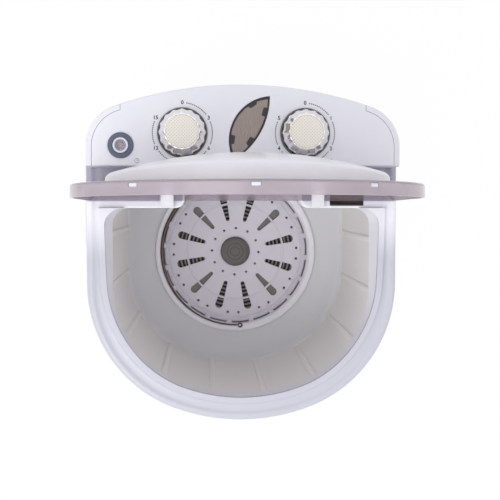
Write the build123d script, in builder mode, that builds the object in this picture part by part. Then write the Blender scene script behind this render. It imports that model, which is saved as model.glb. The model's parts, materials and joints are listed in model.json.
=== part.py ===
from build123d import *
from math import asin, cos, degrees, radians, sin, sqrt
import os

os.makedirs("parts", exist_ok=True)

# Plan of the body, measured from the tub axis
half_width = 173.0
front_y = -176.6
back_y = 199.0
front_radius = 215.0
front_corner_radius = 150.0
back_radius = 430.0
back_corner_radius = 52.0
tub_y = -21.0  # the tub axis stands this far from the middle of the whole depth

# Heights above the floor
foot_height = 12.0
base_floor = 3.0
base_wall_height = 22.0
cabinet_bottom = 20.0
deck_height = 436.0
collar_depth = 16.0
head_rise = 41.0
tub_floor_height = 187.0
well_depth = 27.0

# Walls and clearances
wall = 2.5
deck_thickness = 3.0
seat_gap = 0.2
plinth_lap = 0.2
loose_gap = 0.3
running_gap = 0.05
press_gap = 0.05

# Cabinet shelf, cover hole and base
shelf_thickness = 4.0
shelf_width = 6.0
boss_height = 27.0
boss_radius = 8.0
foot_x = 118.0
foot_front_y = -92.0
foot_back_y = 128.0
foot_radius = 15.0
foot_chamfer = 1.5
foot_neck_radius = 4.0
foot_head_radius = 6.0
foot_head_height = 3.0
vent_y = -70.0
vent_length = 12.0
vent_width = 4.0
vent_columns = 7
vent_rows = 3
vent_gap = 4.0
vent_row_pitch = 10.0

# Mouth of the collar
mouth_inset = 27.0
skirt_thickness = 2.0
skirt_depth = 24.0
lip_width = 7.0
lip_height = 4.0
ledge_y = 62.4
ledge_corner_radius = 13.0
notch_half_width = 64.0
notch_back_y = 92.0
notch_radius = 10.0
slot_left = 97.5
slot_right = 135.5
slot_front = 64.8
slot_back = 79.0
collar_edge_radius = 6.0
lip_edge_radius = 1.5
slot_corner_radius = 1.5
wiring_hole_x = -10.0
wiring_hole_set = 4.0
wiring_hole_length = 200.0
wiring_hole_width = 44.0
wiring_hole_corner = 8.0

# Wash tub
tub_inset = 24.5
tub_back_y = 152.0
tub_corner_radius = 102.0
tub_wall = 2.5
tub_floor = 3.0
flange_thickness = 3.0
well_radius = 108.0
rib_count = 16
rib_width = 3.0
rib_depth = 1.4
rib_turn = 10.0
tub_fillet = 7.0
seal_radius = 14.0
drain_hole_radius = 1.8
drain_hole_ring = 5.0
drain_inset = 33.0
drain_angle = 40.0
pipe_radius = 11.0
pipe_bore = 9.0
drain_turn_height = 134.0
drain_bend_radius = 14.0
drain_flange = 5.0
drain_flange_thickness = 4.0
overflow_side_gap = 26.0
overflow_y = 118.0
overflow_drop = 12.0
overflow_bend_radius = 15.0
overflow_bend_y = 150.0
duct_wall = 2.0
duct_margin = 3.0
duct_back_margin = 4.0
duct_reach = 14.0
duct_side = 24.0

# Control head
head_inset = 6.0
head_front_y = 107.0
panel_thickness = 3.0
panel_border = 6.5
head_edge_radius = 2.0
panel_back_half_width = 130.0
knob_x = 65.0
knob_y = 142.0
bezel_radius = 26.6
bezel_width = 1.6
bezel_height = 2.5
knob_top_radius = 18.6
knob_height = 20.0
knob_lift = 0.6
knob_skirt = 9.0
knob_wall = 3.0
knob_socket_depth = 11.0
knob_hub = 3.5
crown_rim = 1.4
insert_depth = 3.0
insert_rise = 0.4
insert_edge_radius = 0.8
timer_shaft_radius = 3.0
timer_shaft_hole = 2.0
timer_shaft_depth = 18.0
timer_side = 46.0
timer_height = 24.0
timer_corner_radius = 5.0
timer_tab_count = 4
timer_tab_pitch = 9.0
timer_tab_width = 5.0
timer_tab_thickness = 1.0
timer_tab_length = 7.0
inlet_side_gap = 43.0
inlet_y = 128.7
inlet_ring_radius = 13.7
nozzle_radius = 8.3
nozzle_bore = 5.9
nozzle_top = 4.0
nozzle_length = 22.0
nozzle_flange = 3.0
nozzle_flange_thickness = 2.0
nozzle_deck_gap = 2.0
inlet_ring_height = 2.0
inlet_edge_radius = 0.8
hose_radius = 7.3
hose_bore_step = 0.4
hose_rise = 8.0
hose_side_gap = 81.0
hose_end_y = 88.0
hose_bend_radius = 12.0
leaf_tip_x = 27.6
leaf_tip_gap = 3.0
leaf_foot = (-11.0, 113.0)
leaf_left_bulge = 21.0
leaf_right_bulge = 10.4
leaf_rim = 2.0
leaf_sink = 0.8
window_clip_places = [(4.3, 173.6, 30), (22.3, 165.2, 80), (-12.7, 135.6, 80), (7.4, 127.3, 40)]
window_clip_length = 7.0
window_clip_width = 4.5
window_clip_thickness = 3.0

# Lid and its hinge
hinge_y = 88.0
hinge_rise = 18.0
open_angle = 91.0
lid_gap = 0.5
lid_inset = 4.5
lid_head_gap = 2.0
lid_edge_radius = 2.2
lid_depth = 12.7
lid_plate = 2.5
lid_skirt = 2.5
lid_corner_radius = 14.0
bracket_x = 83.0
bracket_width = 14.0
bracket_boss_radius = 5.5
shoulder_back = 0.8
shoulder_rise = 0.4
bracket_setback = 0.4
bracket_toe = 5.0
bracket_toe_run = 2.5
bracket_toe_rise = 8.0
bracket_back_rise = 9.8
bracket_throat = 9.0
bracket_slot_gap = 1.0
pin_radius = 2.5
ear_thickness = 4.0
ear_radius = 4.6
ear_foot = 14.0
ear_slope = 60.0
ear_gap = 1.2
pin_end = 0.8
heel_gap = 0.5
cross_wall_set = 1.5
slot_reach = 10.0
dome_inset = 37.0
dome_corner_radius = 40.0
dome_back_y = 72.0
dome_height = 30.0
dome_edge_height = 8.0
dome_wall = 2.5
clip_x = 104.0
clip_width = 8.5
clip_height = 3.5
clip_drop = 6.0
clip_step = 0.8
clip_tongue = 1.0

# Drive
shaft_radius = 6.0
pulley_bottom = 30.0
pulley_width = 12.0
pulley_radius = 75.0
motor_pulley_radius = 17.4
belt_thickness = 5.0
belt_width = 7.0
pulsator_ribs = 24
motor_y = 105.0
motor_radius = 52.0
motor_bottom = 59.0
motor_height = 82.0
motor_shaft_radius = 5.0
mount_x = 72.0
mount_y = 38.0
groove_step = 1.5
groove_play = 1.0
pulley_hub = 7.0
motor_pulley_length = 18.0
drive_pulley_length = 28.0
pulley_hole_count = 6
pulley_hole_radius = 13.0
pulley_hole_ring = 39.0
bolt_washer = 3.0
bolt_washer_thickness = 1.5
bolt_head_radius = 5.8
bolt_head_height = 4.0
shaft_chamfer = 1.0
shaft_cap_gap = 1.0

# Motor
bracket_plate = 3.0
bracket_margin = 11.0
bracket_corner_radius = 8.0
motor_pulley_play = 4.0
motor_wall = 3.0
motor_floor = 9.0
motor_roof = 6.0
motor_edge_radius = 5.0
motor_boss_radius = 17.0
motor_boss_height = 5.0
motor_screw_ring = 44.0
motor_screw_length = 11.0
small_screw_radius = 2.0
hex_radius = 4.0
hex_height = 3.0
motor_vent_count = 12
motor_vent_width = 5.0
motor_vent_height = 14.0
motor_vent_rise = 12.0
bearing_radius = 13.0
bearing_width = 8.0
stator_rise = 24.0
stator_length = 36.0
stator_bore = 26.0
air_gap = 1.0
winding_outer = 44.0
winding_inner = 29.0
winding_low = 9.0
winding_high = 7.0
fan_rise = 9.0
fan_hub_radius = 11.0
fan_blade_count = 8
fan_blade_length = 28.0
fan_blade_width = 3.0
fan_blade_ring = 22.0
fan_blade_turn = 18.0
fan_height = 5.0
motor_shaft_end = 2.0
motor_shaft_top = 1.0

# Shaft housing and pulsator
housing_bottom = 78.0
housing_wall = 6.0
housing_flange_radius = 45.0
housing_flange_thickness = 7.0
housing_screw_ring = 37.0
housing_rib_span = 60.0
housing_rib_width = 5.0
housing_rib_drop = 36.0
housing_rib_height = 32.0
bush_radius = 11.0
bush_length = 20.0
bush_drop = 22.0
seal_height = 4.0
seal_bore_gap = 0.1
pulsator_gap = 4.4
pulsator_plate = 3.0
pulsator_hub_radius = 18.0
pulsator_drop = 5.5
pulsator_rib_width = 1.6
pulsator_well_gap = 20.0
first_ring = 30.0
ring_pitch = 12.0

# Spin basket
basket_sink = 10.0
basket_lip_rise = 4.5
basket_well_gap = 5.5
basket_flare = 10.0
basket_lip_overhang = 2.5
basket_wall = 2.5
basket_lip_thickness = 2.8
basket_hub_radius = 15.0
window_count = 22
slot_count = 12
slot_turn = 13.0
slot_ring_step = 3.0
slot_ring_width = 2.8
slot_ring_rise = 0.8
slot_inner_gap = 25.5
slot_outer_gap = 14.5
slot_inner_half = 2.6
slot_outer_half = 5.3
inner_hole_gap = 12.2
inner_hole_radius = 1.7
outer_hole_gap = 3.5
outer_hole_radius = 1.5
outer_hole_swing = 5.0
window_width = 16.0
window_height = 5.6
window_reach = 24.0
hub_cap_radius = 20.5
hub_cap_height = 4.0
hub_cap_edge_radius = 2.2
wire_radius = 0.8
wire_ring_step = 0.4
wire_start = 162.0
wire_sweep = 110.0
wire_loop_reach = 3.2
wire_loop_radius = 3.0

# Rear cover, grips and rear fittings
cover_half_width = 86.0
cover_bottom = 66.0
cover_drop = 44.0
cover_margin = 10.0
cover_thickness = 2.0
cover_corner_radius = 10.0
cover_hole_corner = 12.0
louvre_rise = 74.0
louvre_length = 50.0
louvre_height = 5.0
louvre_corner = 2.4
louvre_column_pitch = 62.0
louvre_pitch = 13.0
louvre_rows = 8
screw_radius = 1.6
screw_head_radius = 3.4
screw_head_height = 2.0
screw_length = 9.0
cross_length = 4.6
cross_width = 0.9
cross_depth = 0.8
grip_y = 48.0
grip_drop = 44.0
grip_length = 58.0
grip_height = 22.0
grip_depth = 15.0
grip_proud = 3.5
grip_corner = 8.0
grip_rim = 4.0
grip_rim_corner = 11.0
grip_wall = 2.0
rear_fitting_x = 115.0
rear_fitting_z = 48.0
spigot_end_y = 219.0
spigot_collar_y = 187.5
spigot_collar = 2.5
spigot_collar_step = 3.0
gland_bore = 4.0
gland_wall = 3.3
gland_flange = 7.0
gland_flange_thickness = 3.0
gland_reach = 12.0
gland_depth = 9.0
past_the_wall = 60.0

# Capacitor and terminal block
capacitor_x = -112.0
capacitor_y = 40.0
capacitor_radius = 17.5
capacitor_height = 62.0
capacitor_edge_radius = 2.0
capacitor_tab_x = 6.0
capacitor_tab_thickness = 1.0
capacitor_tab_width = 6.0
capacitor_tab_height = 9.0
clamp_wall = 2.0
clamp_foot_set = 3.5
clamp_height = 16.0
clamp_foot_height = 3.0
clamp_foot_width = 14.0
clamp_foot_length = 14.0
terminal_x = -118.0
terminal_y = 92.0
terminal_length = 44.0
terminal_width = 20.0
terminal_height = 15.0
terminal_columns = 4
terminal_pitch = 10.0
terminal_row_pitch = 9.0
terminal_hole_radius = 2.4
terminal_hole_depth = 5.0

# Values worked out from the sizes above
front_centre_y = front_y + front_radius
front_blend = degrees(asin((half_width - front_corner_radius) / (front_radius - front_corner_radius)))
front_corner_x = half_width - front_corner_radius
front_corner_y = front_centre_y - (front_radius - front_corner_radius) * cos(radians(front_blend))
back_centre_y = back_y - back_radius
back_corner_x = half_width - back_corner_radius
back_corner_y = back_centre_y + sqrt((back_radius - back_corner_radius) ** 2 - back_corner_x**2)
back_blend = degrees(asin(back_corner_x / (back_radius - back_corner_radius)))
head_height = deck_height + head_rise
hinge_z = deck_height + hinge_rise
lid_seat = deck_height + lid_gap
lid_back_y = head_front_y - lid_head_gap
grip_z = deck_height - grip_drop
cover_top = deck_height - cover_drop
well_floor_height = tub_floor_height - well_depth
basket_floor_height = tub_floor_height - basket_sink
basket_lip_height = tub_floor_height + basket_lip_rise
basket_top_radius = well_radius - basket_well_gap
basket_floor_radius = basket_top_radius - basket_flare
basket_lip_radius = well_radius + basket_lip_overhang
pulsator_radius = well_radius - pulsator_well_gap
drain_radius = well_radius - drain_inset
slot_outer_ring = basket_floor_radius - slot_outer_gap
slot_inner_ring = hub_cap_radius + slot_inner_gap
slot_middle_radius = (slot_inner_ring + slot_outer_ring) / 2
slot_half_length = (slot_outer_ring - slot_inner_ring) / 2
slot_ring_radius = slot_middle_radius + slot_ring_step
inner_hole_ring = hub_cap_radius + inner_hole_gap
outer_hole_ring = basket_floor_radius - outer_hole_gap
knob_radius = bezel_radius - bezel_width - loose_gap
insert_radius = knob_top_radius - crown_rim
base_top = foot_height + base_floor
boss_top = base_top + boss_height
motor_top = motor_bottom + motor_height
cabinet_top = deck_height - collar_depth
overflow_x = half_width - overflow_side_gap
inlet_x = inlet_side_gap - half_width
hose_end_x = hose_side_gap - half_width
leaf_tip_y = back_y - head_inset - panel_border - wall - leaf_tip_gap
plinth_inset = wall + loose_gap
collar_wall = plinth_inset + plinth_lap
shelf_height = cabinet_top - 3.0 - flange_thickness
flange_bottom = shelf_height
flange_top = flange_bottom + flange_thickness
rib_top = deck_height - skirt_depth - 2.0
panel_bottom = head_height - panel_thickness
drain_x = drain_radius * cos(radians(drain_angle))
drain_y = drain_radius * sin(radians(drain_angle))
tub_axis = Axis((0, tub_y, 0), (0, 0, 1))
motor_axis = Axis((0, tub_y + motor_y, 0), (0, 0, 1))


def level(height):
    """Horizontal plane with its origin on the tub axis."""
    return Plane((0, tub_y, height))


def section(y=0.0):
    """Upright plane across the body, x to the right and y up."""
    return Plane((0, tub_y + y, 0), x_dir=(1, 0, 0), z_dir=(0, -1, 0))


def side(x):
    """Upright plane along the body, x to the back and y up."""
    return Plane((x, tub_y, 0), x_dir=(0, 1, 0), z_dir=(1, 0, 0))


def on_circle(x, y, radius, angle):
    return (x + radius * cos(radians(angle)), y + radius * sin(radians(angle)))


def front_arcs(inset):
    """Three arcs round the front, and their two ends, left and right."""
    corner = front_corner_radius - inset
    turn = 270 - front_blend
    left = on_circle(-front_corner_x, front_corner_y, corner, 180)
    left_mid = on_circle(-front_corner_x, front_corner_y, corner, (180 + turn) / 2)
    left_blend = on_circle(-front_corner_x, front_corner_y, corner, turn)
    ThreePointArc(left, left_mid, left_blend)
    ThreePointArc(left_blend, (0, front_y + inset), (-left_blend[0], left_blend[1]))
    ThreePointArc((-left_blend[0], left_blend[1]), (-left_mid[0], left_mid[1]), (-left[0], left[1]))
    return left, (-left[0], left[1])


def body_plan(height, inset=0.0):
    """Whole plan of the body, drawn in by inset."""
    with BuildSketch(level(height)) as plan:
        with BuildLine():
            left, right = front_arcs(inset)
            corner = back_corner_radius - inset
            start = on_circle(back_corner_x, back_corner_y, corner, 0)
            mid = on_circle(back_corner_x, back_corner_y, corner, (90 - back_blend) / 2)
            end = on_circle(back_corner_x, back_corner_y, corner, 90 - back_blend)
            Line(right, start)
            ThreePointArc(start, mid, end)
            ThreePointArc(end, (0, back_y - inset), (-end[0], end[1]))
            ThreePointArc((-end[0], end[1]), (-mid[0], mid[1]), (-start[0], start[1]))
            Line((-start[0], start[1]), left)
        make_face()
    return plan


def tub_plan(height, inset):
    """Plan of the tub: the body's front and a straight back with large corners."""
    back = tub_back_y - inset
    corner = tub_corner_radius - inset
    with BuildSketch(level(height)) as plan:
        with BuildLine():
            left, right = front_arcs(inset)
            FilletPolyline(right, (right[0], back), (left[0], back), left, radius=corner)
        make_face()
    return plan


def mouth_plan(height, inset):
    """Mouth of the collar, with the straight ledge and its notch."""
    grow = mouth_inset - inset
    ledge = ledge_y + grow
    notch_width = 2 * (notch_half_width + grow)
    with BuildSketch(level(height)) as plan:
        with BuildLine():
            left, right = front_arcs(inset)
            Polyline(right, (right[0], ledge), (left[0], ledge), left)
        make_face()
        with Locations((0, ledge)):
            Rectangle(notch_width, 2 * (notch_back_y - ledge_y))
        at_ledge = plan.vertices().filter_by_position(Axis.Y, ledge - 0.1, ledge + 0.1)
        fillet(at_ledge.sort_by(Axis.X)[1:-1], notch_radius)
        at_ledge = plan.vertices().filter_by_position(Axis.Y, ledge - 0.1, ledge + 0.1)
        fillet([at_ledge.sort_by(Axis.X)[0], at_ledge.sort_by(Axis.X)[-1]], ledge_corner_radius + grow)
    return plan


def panel_plan(height, clearance=0.0):
    """Panel plate: drawn in from the head at both sides, flush with it front and back."""
    with BuildSketch(level(height)) as plan:
        add(body_plan(height, head_inset + panel_border - clearance).sketch_local)
        with Locations((0, back_y)):
            Rectangle(2 * (panel_back_half_width + clearance), 100)
        add(body_plan(height, head_inset).sketch_local, mode=Mode.INTERSECT)
        with Locations((0, head_front_y)):
            Rectangle(3 * half_width, 400, align=(Align.CENTER, Align.MIN), mode=Mode.INTERSECT)
    return plan


def leaf_plan(height, grow=0.0):
    """Leaf outline between two tips, bulging left and right."""
    tip = Vector(leaf_tip_x, leaf_tip_y)
    foot = Vector(*leaf_foot)
    along = (foot - tip).normalized()
    across = Vector(-along.Y, along.X)
    middle = (tip + foot) * 0.5
    with BuildSketch(level(height)) as plan:
        with BuildLine():
            ThreePointArc(tip, middle - across * leaf_left_bulge, foot)
            ThreePointArc(foot, middle + across * leaf_right_bulge, tip)
        make_face()
        if grow:
            offset(amount=grow, kind=Kind.ARC)
    return plan


def lid_level(height):
    """Plane of the open lid at a height above its rim, in the closed lid's plan."""
    turn = radians(open_angle)
    fall = lid_seat + height - hinge_z
    y = hinge_y - hinge_y * cos(turn) + fall * sin(turn)
    z = hinge_z + hinge_y * sin(turn) + fall * cos(turn)
    return Plane((0, tub_y + y, z), x_dir=(1, 0, 0), z_dir=(0, sin(turn), cos(turn)))


def lid_side(x):
    """Upright plane of the open lid at x, its origin on the hinge axis."""
    turn = radians(open_angle)
    return Plane((x, tub_y + hinge_y, hinge_z), x_dir=(0, cos(turn), -sin(turn)), z_dir=(1, 0, 0))


def lid_plan(height, inset, back, corner):
    """Plan of the lid or its dome, drawn in by inset, with a straight back."""
    with BuildSketch(lid_level(height)) as plan:
        with BuildLine():
            left, right = front_arcs(inset)
            FilletPolyline(right, (right[0], back), (left[0], back), left, radius=corner)
        make_face()
    return plan


def back_plane(x, z, out=0.0):
    """Plane square to the curved back wall at x and z."""
    lean = asin(x / back_radius)
    reach = back_radius + out
    origin = (reach * sin(lean), tub_y + back_centre_y + reach * cos(lean), z)
    return Plane(origin, x_dir=(-cos(lean), sin(lean), 0), z_dir=(sin(lean), cos(lean), 0))


def rear_face():
    """Flat plane behind the body, x to the left and y up."""
    return Plane((0, tub_y + back_y + 5, 0), x_dir=(-1, 0, 0), z_dir=(0, 1, 0))


foot_places = [(x, y) for y in (foot_front_y, foot_back_y) for x in (-foot_x, foot_x)]
mount_places = [(sx * mount_x, motor_y + sy * mount_y) for sx in (-1, 1) for sy in (-1, 1)]
cover_screw_x = cover_half_width - cover_margin / 2
cover_middle = (cover_bottom + cover_top) / 2
cover_heights = [cover_bottom + cover_margin / 2, cover_middle, cover_top - cover_margin / 2]
cover_screws_at = [(x, z) for x in (-cover_screw_x, cover_screw_x) for z in cover_heights]

# Cabinet
with BuildPart() as cabinet:
    extrude(body_plan(cabinet_bottom).sketch, amount=cabinet_top - cabinet_bottom)
    extrude(body_plan(cabinet_bottom, wall).sketch, amount=cabinet_top - cabinet_bottom, mode=Mode.SUBTRACT)
    extrude(body_plan(shelf_height - shelf_thickness, wall).sketch, amount=shelf_thickness - seat_gap)
    extrude(
        body_plan(shelf_height - shelf_thickness, wall + shelf_width).sketch,
        amount=shelf_thickness,
        mode=Mode.SUBTRACT,
    )
    with BuildSketch(rear_face()):
        with Locations((0, cover_middle)):
            RectangleRounded(
                2 * (cover_half_width - cover_margin),
                cover_top - cover_bottom - 2 * cover_margin,
                cover_hole_corner,
            )
    extrude(amount=-past_the_wall, mode=Mode.SUBTRACT)
    with Locations(*[back_plane(x, z) for x, z in cover_screws_at]):
        Cylinder(screw_radius, 2 * screw_length, mode=Mode.SUBTRACT)
    with BuildSketch(side(-2 * half_width)):
        with Locations((grip_y, grip_z)):
            RectangleRounded(grip_length, grip_height, grip_corner)
    extrude(amount=4 * half_width, mode=Mode.SUBTRACT)
    with BuildSketch(rear_face()):
        with Locations((-rear_fitting_x, rear_fitting_z)):
            Circle(pipe_radius + loose_gap)
    extrude(amount=-past_the_wall, mode=Mode.SUBTRACT)
    with Locations(back_plane(-rear_fitting_x, rear_fitting_z)):
        Cylinder(gland_bore + gland_wall + seat_gap, 2 * gland_depth, mode=Mode.SUBTRACT)
cabinet.part.label = "cabinet"
export_step(cabinet.part, "parts/cabinet.step")

# Rear service cover, bent to the back wall, with louvres low down for the motor
with BuildPart() as rear_cover:
    extrude(body_plan(cover_bottom, -cover_thickness - seat_gap).sketch, amount=cover_top - cover_bottom)
    extrude(body_plan(cover_bottom, -seat_gap).sketch, amount=cover_top - cover_bottom, mode=Mode.SUBTRACT)
    with BuildSketch(rear_face()):
        with Locations((0, cover_middle)):
            RectangleRounded(2 * cover_half_width, cover_top - cover_bottom, cover_corner_radius)
    extrude(amount=-past_the_wall, mode=Mode.INTERSECT)
    with BuildSketch(rear_face()):
        with Locations((0, cover_bottom + louvre_rise)):
            with GridLocations(louvre_column_pitch, louvre_pitch, 2, louvre_rows):
                RectangleRounded(louvre_length, louvre_height, louvre_corner)
    extrude(amount=-past_the_wall, mode=Mode.SUBTRACT)
    with Locations(*[back_plane(x, z) for x, z in cover_screws_at]):
        Cylinder(screw_radius, 2 * screw_length, mode=Mode.SUBTRACT)
rear_cover.part.label = "rear_cover"
export_step(rear_cover.part, "parts/rear_cover.step")

# Screws of the rear cover, each square to the curved wall
with BuildPart() as rear_cover_screws:
    outside = cover_thickness + seat_gap + press_gap
    with Locations(*[back_plane(x, z, outside) for x, z in cover_screws_at]):
        Cylinder(screw_head_radius, screw_head_height, align=(Align.CENTER, Align.CENTER, Align.MIN))
        Cylinder(screw_radius, screw_length, align=(Align.CENTER, Align.CENTER, Align.MAX))
    with Locations(*[back_plane(x, z, outside + screw_head_height) for x, z in cover_screws_at]):
        Box(cross_length, cross_width, 2 * cross_depth, mode=Mode.SUBTRACT)
        Box(cross_width, cross_length, 2 * cross_depth, mode=Mode.SUBTRACT)
rear_cover_screws.part.label = "rear_cover_screws"
export_step(rear_cover_screws.part, "parts/rear_cover_screws.step")

# Base plate with foot holes, motor bosses and a boss for the capacitor
with BuildPart() as base_plate:
    extrude(body_plan(foot_height, plinth_inset).sketch, amount=base_wall_height)
    extrude(
        body_plan(foot_height + base_floor, plinth_inset + wall).sketch,
        amount=base_wall_height,
        mode=Mode.SUBTRACT,
    )
    with BuildSketch(level(foot_height + base_floor)):
        with Locations(*mount_places):
            Circle(boss_radius)
    extrude(amount=boss_height)
    with BuildSketch(level(foot_height)):
        with Locations(*foot_places):
            Circle(foot_neck_radius)
        with Locations((0, vent_y)):
            with GridLocations(vent_length + vent_gap, vent_row_pitch, vent_columns, vent_rows):
                SlotOverall(vent_length, vent_width)
    extrude(amount=base_floor, mode=Mode.SUBTRACT)
base_plate.part.label = "base_plate"
export_step(base_plate.part, "parts/base_plate.step")

# Rubber feet, each pushed through its hole
with BuildPart() as feet:
    with BuildSketch(level(0)):
        with Locations(*foot_places):
            Circle(foot_radius)
    extrude(amount=foot_height)
    chamfer(feet.edges().group_by(Axis.Z)[0], foot_chamfer)
    with BuildSketch(level(foot_height)):
        with Locations(*foot_places):
            Circle(foot_neck_radius)
    extrude(amount=base_floor)
    with BuildSketch(level(base_top)):
        with Locations(*foot_places):
            Circle(foot_head_radius)
    extrude(amount=foot_head_height)
feet.part.label = "feet"
export_step(feet.part, "parts/feet.step")

# Wash tub: wall, floor, well, flange under the collar and the ribs on the wall
with BuildPart() as wash_tub:
    tub_outer = tub_inset - tub_wall
    extrude(
        tub_plan(tub_floor_height - tub_floor, tub_outer).sketch,
        amount=flange_top - tub_floor_height + tub_floor,
    )
    extrude(body_plan(flange_bottom, plinth_inset).sketch, amount=flange_thickness)
    with BuildSketch(level(well_floor_height - tub_floor)):
        Circle(well_radius + tub_wall)
    extrude(amount=tub_floor_height - well_floor_height)
    extrude(tub_plan(tub_floor_height, tub_inset).sketch, amount=flange_top, mode=Mode.SUBTRACT)
    inner_floor = wash_tub.faces().filter_by(Axis.Z).filter_by_position(
        Axis.Z, tub_floor_height - 0.1, tub_floor_height + 0.1
    )
    fillet(inner_floor.edges(), tub_fillet)
    with BuildSketch(level(well_floor_height)):
        Circle(well_radius)
    extrude(amount=tub_floor_height, mode=Mode.SUBTRACT)
    with BuildSketch(level(tub_floor_height)):
        with PolarLocations(half_width - tub_inset, rib_count, start_angle=rib_turn):
            Rectangle(past_the_wall, rib_width)
        add(tub_plan(tub_floor_height, tub_inset).sketch_local, mode=Mode.INTERSECT)
        add(tub_plan(tub_floor_height, tub_inset + rib_depth).sketch_local, mode=Mode.SUBTRACT)
    extrude(amount=rib_top - tub_floor_height)
    with BuildSketch(level(well_floor_height - tub_floor)):
        Circle(seal_radius)
        with Locations((drain_x, drain_y)):
            with PolarLocations(drain_hole_ring, 6):
                Circle(drain_hole_radius)
            Circle(drain_hole_radius)
    extrude(amount=2 * tub_floor, mode=Mode.SUBTRACT)
    with BuildSketch(level(flange_bottom)):
        with Locations((overflow_x, overflow_y)):
            Circle(pipe_radius + loose_gap)
    extrude(amount=flange_thickness, mode=Mode.SUBTRACT)
wash_tub.part.label = "wash_tub"
export_step(wash_tub.part, "parts/wash_tub.step")

# Drain manifold: tub drain, overflow pipe and rear spigot in one hollow pipe
with BuildPart() as drain_manifold:
    drain_top = well_floor_height - tub_floor - seat_gap
    with BuildLine() as drain_path:
        FilletPolyline(
            (drain_x, tub_y + drain_y, drain_top),
            (drain_x, tub_y + drain_y, drain_turn_height),
            (overflow_x, tub_y + overflow_y, drain_turn_height),
            radius=drain_bend_radius,
        )
    overflow_end = flange_bottom - overflow_drop
    with BuildLine() as overflow_path:
        FilletPolyline(
            (overflow_x, tub_y + overflow_y, overflow_end),
            (overflow_x, tub_y + overflow_y, rear_fitting_z),
            (rear_fitting_x, tub_y + overflow_bend_y, rear_fitting_z),
            (rear_fitting_x, tub_y + spigot_end_y, rear_fitting_z),
            radius=overflow_bend_radius,
        )
    with BuildSketch(Plane(drain_path.line @ 0, z_dir=drain_path.line % 0)):
        Circle(pipe_radius)
    sweep(path=drain_path.line)
    with BuildSketch(Plane(overflow_path.line @ 0, z_dir=overflow_path.line % 0)):
        Circle(pipe_radius)
    sweep(path=overflow_path.line)
    with BuildSketch(level(drain_top - drain_flange_thickness)):
        with Locations((drain_x, drain_y)):
            Circle(pipe_radius + drain_flange)
    extrude(amount=drain_flange_thickness)
    collar_place = Plane((rear_fitting_x, tub_y + spigot_collar_y, rear_fitting_z), z_dir=(0, 1, 0))
    with BuildSketch(collar_place):
        Circle(pipe_radius + spigot_collar_step)
    extrude(amount=spigot_collar)
    with BuildSketch(Plane(drain_path.line @ 0, z_dir=drain_path.line % 0)):
        Circle(pipe_bore)
    sweep(path=drain_path.line, mode=Mode.SUBTRACT)
    with BuildSketch(Plane(overflow_path.line @ 0, z_dir=overflow_path.line % 0)):
        Circle(pipe_bore)
    sweep(path=overflow_path.line, mode=Mode.SUBTRACT)
drain_manifold.part.label = "drain_manifold"
export_step(drain_manifold.part, "parts/drain_manifold.step")

# Overflow duct: a tray under the ledge slot with a stub down to the overflow pipe
with BuildPart() as overflow_duct:
    duct_bottom = flange_top + seat_gap
    duct_top = deck_height - deck_thickness - seat_gap
    duct_front = ledge_y + skirt_thickness + loose_gap
    duct_outline = [
        (slot_left - duct_margin, duct_front),
        (slot_right + duct_margin, duct_front),
        (overflow_x + duct_reach, overflow_y - duct_side),
        (overflow_x + duct_reach, overflow_y + duct_reach),
        (overflow_x - duct_reach, overflow_y + duct_reach),
        (slot_left - duct_margin, slot_back + duct_back_margin),
    ]
    with BuildSketch(level(duct_bottom)) as duct_base:
        with BuildLine():
            Polyline(*duct_outline, close=True)
        make_face()
    extrude(amount=duct_top - duct_bottom)
    with BuildSketch(level(duct_bottom + duct_wall)):
        add(duct_base.sketch_local)
        offset(amount=-duct_wall, kind=Kind.INTERSECTION, mode=Mode.REPLACE)
    extrude(amount=duct_top, mode=Mode.SUBTRACT)
    with BuildSketch(level(overflow_end + seat_gap)):
        with Locations((overflow_x, overflow_y)):
            Circle(pipe_radius)
    extrude(amount=duct_bottom - overflow_end)
    with BuildSketch(level(overflow_end)):
        with Locations((overflow_x, overflow_y)):
            Circle(pipe_bore)
    extrude(amount=duct_bottom + duct_wall - overflow_end, mode=Mode.SUBTRACT)
overflow_duct.part.label = "overflow_duct"
export_step(overflow_duct.part, "parts/overflow_duct.step")

# Top collar: deck, mouth with its raised lip and curtain, ledge slot
with BuildPart() as top_collar:
    extrude(body_plan(cabinet_top).sketch, amount=collar_depth)
    fillet(top_collar.edges().group_by(Axis.Z)[-1], collar_edge_radius)
    extrude(
        body_plan(cabinet_top, collar_wall).sketch,
        amount=collar_depth - deck_thickness,
        mode=Mode.SUBTRACT,
    )
    extrude(body_plan(flange_top + seat_gap, plinth_inset).sketch, amount=collar_depth - deck_thickness)
    extrude(
        body_plan(flange_top + seat_gap, plinth_inset + skirt_thickness).sketch,
        amount=deck_height - deck_thickness - flange_top - seat_gap,
        mode=Mode.SUBTRACT,
    )
    extrude(mouth_plan(deck_height - skirt_depth, mouth_inset - skirt_thickness).sketch, amount=skirt_depth)
    with BuildSketch(level(deck_height)):
        with BuildLine():
            left, right = front_arcs(mouth_inset - lip_width)
            Polyline(right, (right[0], ledge_y), (left[0], ledge_y), left)
        make_face()
    extrude(amount=lip_height)
    lip_edges = top_collar.edges().group_by(Axis.Z)[-1]
    fillet(lip_edges.filter_by(GeomType.CIRCLE), lip_edge_radius)
    extrude(
        mouth_plan(deck_height - skirt_depth, mouth_inset).sketch,
        amount=skirt_depth + 2 * lip_height,
        mode=Mode.SUBTRACT,
    )
    with BuildSketch(level(deck_height - deck_thickness)):
        with Locations(((slot_left + slot_right) / 2, (slot_front + slot_back) / 2)):
            RectangleRounded(slot_right - slot_left, slot_back - slot_front, slot_corner_radius)
        with Locations((inlet_x, inlet_y)):
            Circle(nozzle_radius + nozzle_deck_gap)
        with Locations((wiring_hole_x, knob_y + wiring_hole_set)):
            RectangleRounded(wiring_hole_length, wiring_hole_width, wiring_hole_corner)
    extrude(amount=deck_thickness, mode=Mode.SUBTRACT)
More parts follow.
